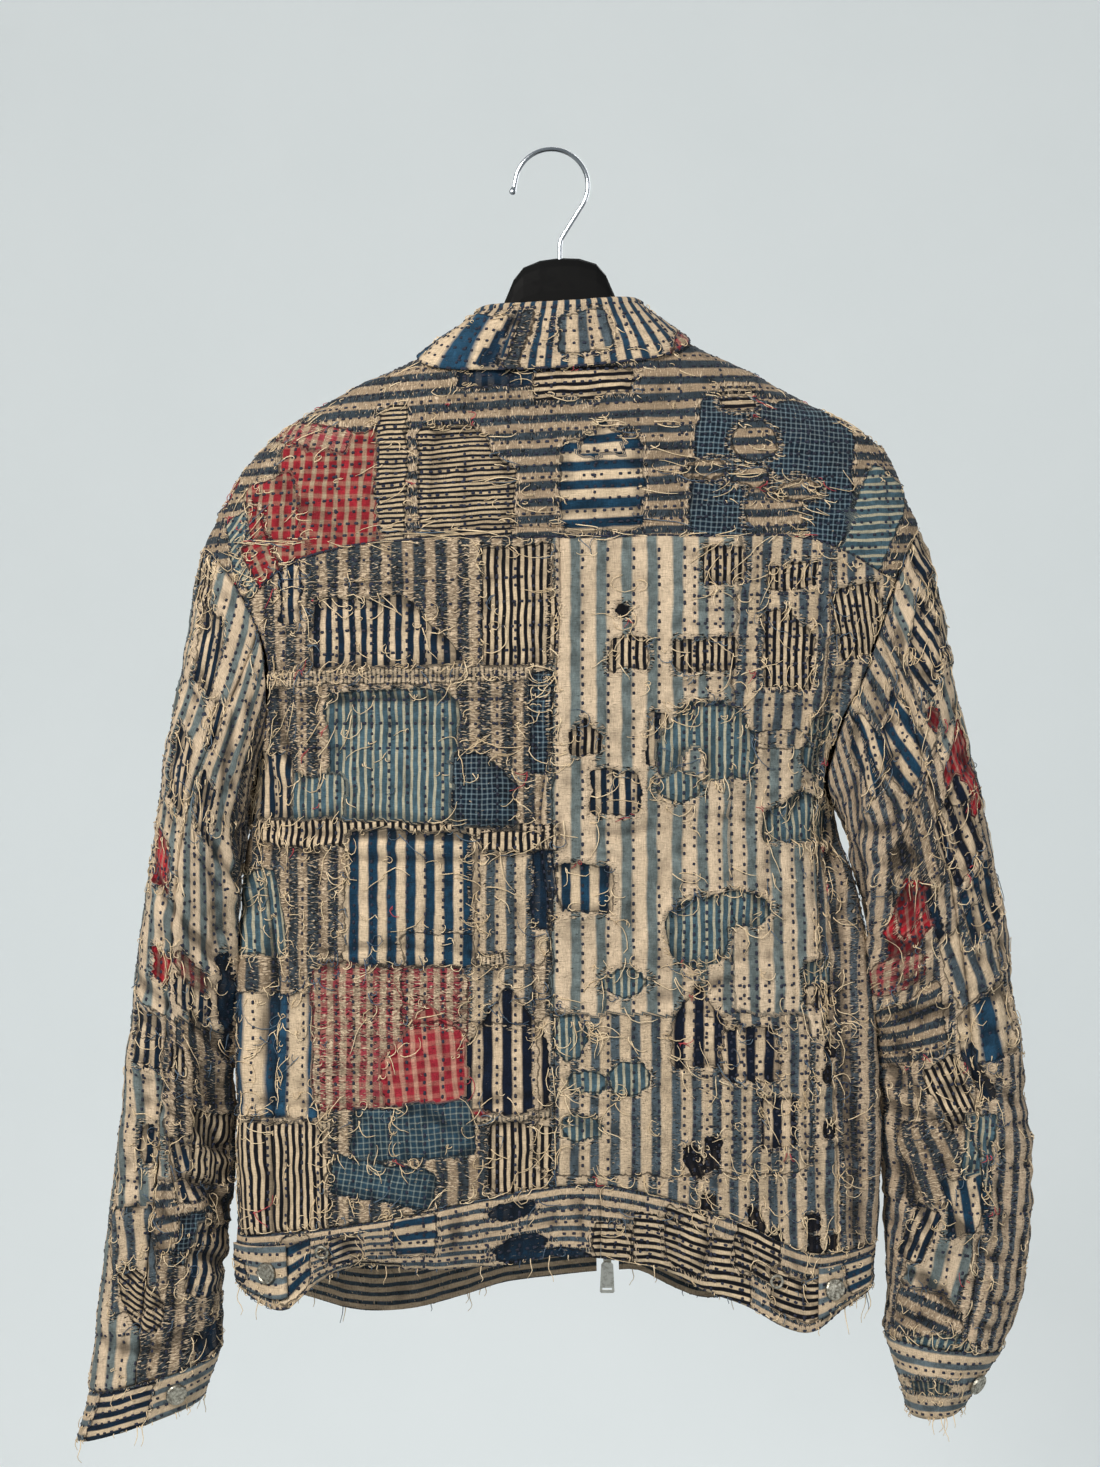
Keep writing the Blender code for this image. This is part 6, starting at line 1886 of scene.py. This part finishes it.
            piece = self.add(f"waist_strap_{name}", Zone[f"TAB_{name.upper()}"], form, t.around(u, level),
                down * self.band_drop, -1, Fabric.CUFF, turn=90, thickness=self.tab_cloth, rough=0.25)
            piece.lowest = np.full(u.shape, -0.2)

    def cut_sleeves(self) -> None:
        """Cuts each sleeve's outer and under piece, and its cuff."""
        for side, name in SIDES.items():
            form, zone = self.sleeves[side], Zone[f"SLEEVE_{name.upper()}"]
            first, second = self.sleeve_seams
            for part, ends, cell, fabric in (("outer", (first, second), self.middle,
                    Fabric.WIDE if side < 0 else Fabric.HOMESPUN), ("under", (second, 360 + first), 3.0,
                    Fabric.BORO if side < 0 else Fabric.HOMESPUN)):
                turns = np.linspace(*ends, odd(170, cell))
                down = np.linspace(0, 1, odd(form.length, cell))
                turn, down = grid(turns, down)
                self.add(f"sleeve_{part}_cloth_{name}", zone, form.points(turn, down),
                    form.around(turn, down), down * form.length, side, fabric, thickness=self.cloth,
                    rough=1.7)
            turns = np.linspace(first, 360 + first, odd(250, 2.4))
            turn, down = grid(turns, np.linspace(0, 1, odd(40, 2.4)))
            points = form.cuff(turn, down)
            way = points[-1] - points[0]
            points = points + (unit(way) * self.cuff_gap)[None] * (1 - down[..., None])
            around = np.broadcast_to(form.around(turns, np.ones_like(turns)), turn.shape)
            self.add(f"cuff_cloth_{name}", Zone[f"CUFF_{name.upper()}"], points, around,
                down * float(norm(way).mean()), side, Fabric.CUFF, turn=90, thickness=self.band_cloth,
                rough=0.7)

    def cut_collar(self) -> None:
        """Cuts the collar."""
        along = np.concatenate([np.linspace(0, 0.30, 13)[:-1], np.linspace(0.30, 0.42, 11)[:-1],
            np.linspace(0.42, 1.0, 23)])
        round_, along = grid(np.linspace(-1, 1, odd(520, 2.6)), along)
        form = self.collar.points(round_, along)
        steps = norm(np.diff(form, axis=1)).mean(axis=0)
        around = np.concatenate([[0.0], np.cumsum(steps)])
        around = np.broadcast_to(around - around[len(around) // 2], round_.shape)
        piece = self.add("collar_cloth", Zone.COLLAR, form, around, run_along(form, 0), -1, Fabric.COLLAR,
            thickness=self.collar_cloth, rough=0.55)
        piece.lowest = np.full(around.shape, -1.0)
        piece.highest = np.full(around.shape, 1.0)

    def nodes(self) -> dict[str, str]:
        """Names the solid that each cut piece stands for."""
        named = {"yoke_cloth": "back_yoke", "collar_cloth": "collar"}
        for cut, node in (("back_cloth", "back_panel"), ("side_cloth", "side_panel"),
                ("front_cloth", "front_panel"), ("waistband_cloth", "waistband"),
                ("waist_strap", "waist_tab"), ("sleeve_outer_cloth", "sleeve_outer"),
                ("sleeve_under_cloth", "sleeve_under"), ("cuff_cloth", "cuff")):
            named |= {f"{cut}_{name}": f"{node}_{name}" for name in SIDES.values()}
        return named

    def build(self) -> None:
        """Cuts, marks and presses every piece, and makes its mesh."""
        self.cut_torso()
        self.cut_band()
        self.cut_sleeves()
        self.cut_collar()
        for zone in Zone:
            Tailor(zone, [piece for piece in self.pieces if piece.zone is zone]).work()
        cotton = BoroCotton().make()
        named = self.nodes()
        for piece in self.pieces:
            piece.build(cotton, named[piece.name])

    def dress(self) -> None:
        """Sews the sashiko stitches and lays the loose threads."""
        navy = CottonThread("navy_sashiko_thread", "#0B0F1C", "#1A2136").make()
        sashiko = Sashiko()
        for name, zones in (("stitches_back", {Zone.BACK}), ("stitches_sleeves",
                {Zone.SLEEVE_LEFT, Zone.SLEEVE_RIGHT, Zone.CUFF_LEFT, Zone.CUFF_RIGHT}),
                ("stitches_shoulders", {Zone.YOKE, Zone.COLLAR, Zone.BAND, Zone.TAB_LEFT, Zone.TAB_RIGHT}),
                ("stitches_front", {Zone.FRONT})):
            sashiko.sew(name, [piece for piece in self.pieces if piece.zone in zones], navy)
        threads = LooseThreads()
        for colour, finish in (("cream", CottonThread("cream_frayed_thread", "#E2CFAE", "#C4AC88")),
                ("blue", CottonThread("faded_indigo_thread", "#5C6E7C", "#2C3E54")),
                ("red", CottonThread("faded_madder_thread", "#B4474E", "#8E3038"))):
            paths = []
            for row in FRAYS:
                group = [piece for piece in self.pieces if piece.zone is row.zone]
                if row.colour != colour:
                    continue
                total = sum(piece.cut_area for piece in group)
                for piece in group:
                    share = piece.cut_area / total
                    if round(row.lying * share):
                        paths.append(threads.paths(piece, round(row.lying * share), row.longest))
                    if row.hanging:
                        paths.append(threads.hanging(piece, max(1, round(row.hanging * share)),
                            row.longest))
            points, faces = threads.tubes(np.concatenate(paths))
            make_mesh(f"threads_{colour}", points, faces, finish.make())


# ---- zip, metal and hanger

@dataclass(frozen=True)
class AgedNickel:
    """Nickel plate on cast brass, worn: half glossy and warm grey, dark tarnish in the
    hollows and pale where hands have rubbed it."""

    name: str = "aged_nickel_plate"
    bright: str = "#A9A598"
    tarnish: str = "#4B463D"
    roughness: float = 0.36
    blot: float = 2.2           # size of a tarnish spot
    bare: float = 0.50

    def make(self) -> Material:
        """Makes the metal."""
        finish = Finish(self.name)
        add, place = finish.add, finish.place
        blot = add("TexNoise", Vector=place, Scale=1000 / self.blot, Detail=5.0, Roughness=0.65)
        share = add("MapRange", Value=blot, From_Min=self.bare - 0.12, From_Max=self.bare + 0.16)
        colour = add("Mix", at={0: share, 6: linear(self.bright), 7: linear(self.tarnish)}, out=2,
            data_type="RGBA")
        dull = add("MapRange", Value=share, To_Min=self.roughness, To_Max=self.roughness + 0.25)
        scratch = add("TexNoise", Vector=place, Scale=1400.0, Detail=3.0)
        bump = add("Bump", Height=scratch, Strength=0.25, Distance=0.0002)
        return finish.wire({"Base Color": colour, "Roughness": dull, "Normal": bump, "Metallic": 1.0})


@dataclass(frozen=True)
class ChromePlate:
    """Polished chrome on steel wire: mirror bright, with faint wipe marks."""

    name: str = "chrome_plated_steel"
    colour: str = "#94989D"
    shade: str = "#73787D"
    roughness: float = 0.16
    wipe: float = 6.0           # size of a smear

    def make(self) -> Material:
        """Makes the plating."""
        finish = Finish(self.name)
        add, place = finish.add, finish.place
        smear = add("TexNoise", Vector=place, Scale=1000 / self.wipe, Detail=4.0)
        tint = add("Mix", at={0: smear, 6: linear(self.colour), 7: linear(self.shade)}, out=2,
            data_type="RGBA")
        dull = add("MapRange", Value=smear, To_Min=self.roughness - 0.05, To_Max=self.roughness + 0.12)
        return finish.wire({"Base Color": tint, "Roughness": dull, "Metallic": 1.0})


@dataclass(frozen=True)
class MouldedPolystyrene:
    """Black polystyrene, injection moulded: a soft satin gloss over a fine eggshell grain,
    with scuffs that are a little duller and greyer."""

    name: str = "black_polystyrene"
    colour: str = "#030303"
    scuffed: str = "#070708"
    roughness: float = 0.60
    gloss: float = 0.10
    grain: float = 0.7          # moulded grain; drawn at 0.7 mm so that it shows

    def make(self) -> Material:
        """Makes the plastic."""
        finish = Finish(self.name)
        add, place = finish.add, finish.place
        scuff = add("TexNoise", Vector=place, Scale=90.0, Detail=6.0, Roughness=0.7)
        worn = add("MapRange", Value=scuff, From_Min=0.5, From_Max=0.75)
        colour = add("Mix", at={0: worn, 6: linear(self.colour), 7: linear(self.scuffed)}, out=2,
            data_type="RGBA")
        dull = add("MapRange", Value=worn, To_Min=self.roughness, To_Max=self.roughness + 0.2)
        fine = add("TexNoise", Vector=place, Scale=1000 / self.grain, Detail=2.0)
        bump = add("Bump", Height=fine, Strength=0.2, Distance=0.0002)
        return finish.wire({"Base Color": colour, "Roughness": dull, "Normal": bump,
            "Specular IOR Level": self.gloss})


@dataclass(frozen=True)
class ZipTapeTwill:
    """Navy twill tape: matt, its fine diagonal ribs and faded edges seen close to."""

    name: str = "navy_twill_tape"
    colour: str = "#141B2B"
    faded: str = "#2A3446"
    rib: float = 1.1            # a twill rib is 0.6 mm; drawn coarser, so that it shows

    def make(self) -> Material:
        """Makes the tape's material."""
        finish = Finish(self.name)
        add, place = finish.add, finish.place
        slant = add("VectorMath", place, (1.0, 0.4, 0.8), operation="DOT_PRODUCT", out="Value")
        turn = add("Math", slant, 1000 / self.rib, operation="MULTIPLY")
        ribs = add("Math", turn, 0.5, operation="PINGPONG")
        patchy = add("TexNoise", Vector=place, Scale=120.0, Detail=4.0)
        mixed = add("Math", ribs, patchy, operation="MULTIPLY")
        share = add("MapRange", Value=mixed, From_Min=0.02, From_Max=0.3)
        colour = add("Mix", at={0: share, 6: linear(self.colour), 7: linear(self.faded)}, out=2,
            data_type="RGBA")
        bump = add("Bump", Height=ribs, Strength=0.5, Distance=0.0003)
        return finish.wire({"Base Color": colour, "Normal": bump, "Roughness": 0.88})


@dataclass
class FrontZip:
    """The zip down the front: two tapes with a corded edge and a row of teeth each."""

    torso: TorsoForm
    outer: float = 11.4         # from the zip's middle to a tape's outer edge
    inner: float = 0.9
    tape: float = 1.0
    seam: tuple[float, float] = (7.4, 8.8)      # where a tape goes in under the front's edge
    sink: float = 1.8
    top: float = -199.0
    bottom: float = -788.6
    tooth_pitch: float = 3.2
    tooth: tuple[float, float, float] = (3.4, 1.9, 1.5)     # across, down, out

    def place(self, side: int, out: float, level: Grid) -> tuple[Grid, Grid]:
        """Gives points of the front beside the zip, and the way out of them."""
        u = self.torso.front_edge(side, out, level)
        across = self.torso.points(u + 1e-3, level) - self.torso.points(u - 1e-3, level)
        rise = self.torso.points(u, level + 0.1) - self.torso.points(u, level - 0.1)
        return self.torso.points(u, level), unit(np.cross(across, rise))

    def tape_mesh(self, side: int, material: Material) -> None:
        """Makes a tape with a raised cord at its inner edge."""
        columns, rows = 13, odd(self.top - self.bottom, 4.0)
        out, level = np.linspace(self.outer, self.inner, columns), np.linspace(self.top, self.bottom, rows)
        points, normals = [], []
        for reach in out:
            p, n = self.place(side, reach, level)
            cord = 0.35 * math.exp(-((reach - self.inner - 0.9) / 0.8) ** 2)
            cord -= self.sink * float(fade(reach, *self.seam))
            points.append(p + n * cord)
            normals.append(n)
        flip = side < 0
        order = 1 if flip else -1
        form = np.stack(points[::order], axis=1)
        normal = np.stack(normals[::order], axis=1)
        inner = (form - normal * self.tape)[::2, ::2]
        cloth = np.concatenate([form.reshape(-1, 3), inner.reshape(-1, 3)])
        faces = shell_faces(rows, columns)
        made = make_mesh(f"zip_tape_cloth_{SIDES[side]}", cloth,
            [face[::-1] for face in faces] if flip else faces, material)
        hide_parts(f"zip_tape_{SIDES[side]}")

    def teeth(self, material: Material) -> None:
        """Makes both rows of teeth as one mesh."""
        points, faces = [], []
        across, tall, out = self.tooth
        profile = [(-0.5, -0.5), (0.12, -0.5), (0.5, -0.22), (0.5, 0.22), (0.12, 0.5), (-0.5, 0.5)]
        for side in SIDES:
            count = int((self.top - 3 - self.bottom - 4) / self.tooth_pitch)
            level = self.top - 3 - np.arange(count) * self.tooth_pitch - (0 if side < 0
                else self.tooth_pitch / 2)
            base, normal = self.place(side, 1.6, level)
            far, _ = self.place(side, 2.6, level)
            inwards = unit(base - far)
            down = np.cross(normal, inwards)
            for spot, n, i, d in zip(base, normal, inwards, down):
                start = len(points)
                for height, grow in ((-0.9, 1.0), (0.35, 1.0), (0.7, 0.82)):
                    for a, b in profile:
                        points.append(spot + i * a * across * grow + d * b * tall * grow + n * height * out)
                for ring in (0, 6):
                    for k in range(6):
                        faces.append([start + ring + k, start + ring + (k + 1) % 6,
                            start + ring + 6 + (k + 1) % 6, start + ring + 6 + k])
                faces.append([start + 12 + k for k in range(6)])
                faces.append([start + k for k in range(6)][::-1])
        make_mesh("zip_teeth", np.array(points), faces, material)

    def build(self) -> None:
        """Makes the tapes and the teeth."""
        twill = ZipTapeTwill().make()
        for side in SIDES:
            self.tape_mesh(side, twill)
        self.teeth(AgedNickel("aged_brass_teeth", "#A98B5A", "#54432E", 0.36).make())


def repaint(names: list[str], material: Material) -> None:
    """Gives kept solids a better finish.

    Args:
        names: the solids' names.
        material: what they are made of.
    """
    for name in names:
        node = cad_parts[name]
        for slot in node.material_slots:
            slot.material = material
        log.info("%s: %s", name, material.name)


# ---- studio

@dataclass(frozen=True)
class Studio:
    """A pale sweep of paper far behind, and soft lamps before the jacket."""

    paper: str = "#C9D0D2"
    behind: float = 3300.0
    floor: float = -1900.0
    bend: float = 900.0
    half: float = 16000.0
    top: float = 7000.0
    glow: float = 0.38          # how much of the paper's colour the camera and metal see unlit
    sky: str = "#C4CBCE"        # what they see where the paper ends

    def build(self) -> None:
        """Makes the sweep, the lamps and the world."""
        turns = np.linspace(0, math.pi / 2, 17)
        profile = [(-self.half, self.floor)]
        profile += [(self.behind - self.bend + self.bend * math.sin(t),
            self.floor + self.bend - self.bend * math.cos(t)) for t in turns]
        profile.append((self.behind, self.top))
        points = [(x, y, z) for y, z in profile for x in (-self.half, self.half)]
        faces = [(2 * k, 2 * k + 1, 2 * k + 3, 2 * k + 2) for k in range(len(profile) - 1)]
        mesh = bpy.data.meshes.new("paper_sweep")
        mesh.from_pydata((np.array(points) * MM).tolist(), [], faces)
        mesh.shade_smooth()
        mesh.materials.append(self.paper_finish())
        sweep = bpy.data.objects.new("paper_sweep", mesh)
        bpy.context.scene.collection.objects.link(sweep)
        self.lamp("key", (-1.25, -2.0, 0.85), 0.8, 86, "#FFFAF4")
        self.lamp("fill", (1.8, -1.7, -0.2), 1.8, 19, "#FFFFFF")
        self.lamp("far_side", (0.9, 2.1, 0.6), 1.6, 42, "#FFFFFF")
        world = bpy.data.worlds.new("studio")
        world.use_nodes = True
        add, nodes = partial(add_node, world.node_tree), world.node_tree.nodes
        wire(nodes["Background"], {"Color": linear("#ECEBE8"), "Strength": 0.45})
        pale = add("Background", Color=linear(self.sky), out="Background")
        both = add("MixShader", self.seen_bare(add), nodes["Background"].outputs[0], pale, out="Shader")
        wire(nodes["World Output"], {"Surface": both})
        bpy.context.scene.world = world

    def seen_bare(self, add: Callable) -> Socket:
        """Gives 1 where the background is seen, straight or mirrored, and 0 where it only lights."""
        ray = add("LightPath", out="Is Camera Ray")
        both = add("Math", ray, ray.node.outputs["Is Glossy Ray"], operation="ADD")
        return add("Math", both, ray.node.outputs["Is Transmission Ray"], operation="ADD", use_clamp=True)

    def paper_finish(self) -> Material:
        """Makes matt paper, whose faint fibres keep it from looking flat."""
        finish = Finish("matt_background_paper")
        add, place = finish.add, finish.place
        fibre = add("TexNoise", Vector=place, Scale=3.0, Detail=4.0)
        colour = add("Mix", at={0: fibre, 6: linear(self.paper), 7: linear("#CED4D6")}, out=2,
            data_type="RGBA")
        glow = add("Math", self.seen_bare(add), self.glow, operation="MULTIPLY")
        return finish.wire({"Base Color": colour, "Emission Color": colour, "Emission Strength": glow,
            "Roughness": 0.95})

    def lamp(self, name: str, place: tuple[float, float, float], size: float, power: float,
            code: str) -> None:
        """Adds a soft square lamp that faces the jacket's middle."""
        data = bpy.data.lights.new(name, "AREA")
        data.size, data.energy, data.color = size, power, linear(code)[:3]
        made = bpy.data.objects.new(name, data)
        made.location = place
        made.rotation_euler = (Vector((0, 0, -0.45)) - Vector(place)).to_track_quat("-Z", "Y").to_euler()
        made.visible_camera = False
        bpy.context.scene.collection.objects.link(made)


def main() -> None:
    """Builds the jacket, its trim and the studio, in order."""
    logging.basicConfig(level=logging.INFO, format="%(name)s %(message)s")
    VIEWER.build()
    jacket = Jacket()
    jacket.build()
    jacket.dress()
    FrontZip(jacket.torso).build()
    repaint([*jacket.button_nodes, "zip_slider"], AgedNickel().make())
    repaint(["zip_pull"], AgedNickel("rubbed_nickel_plate", "#BDBBB3", "#77736A", 0.30, 3.5, 0.58).make())
    repaint(["hanger_hook"], ChromePlate().make())
    repaint(["hanger_body"], MouldedPolystyrene().make())
    Studio().build()


if __name__ == "__main__":
    main()
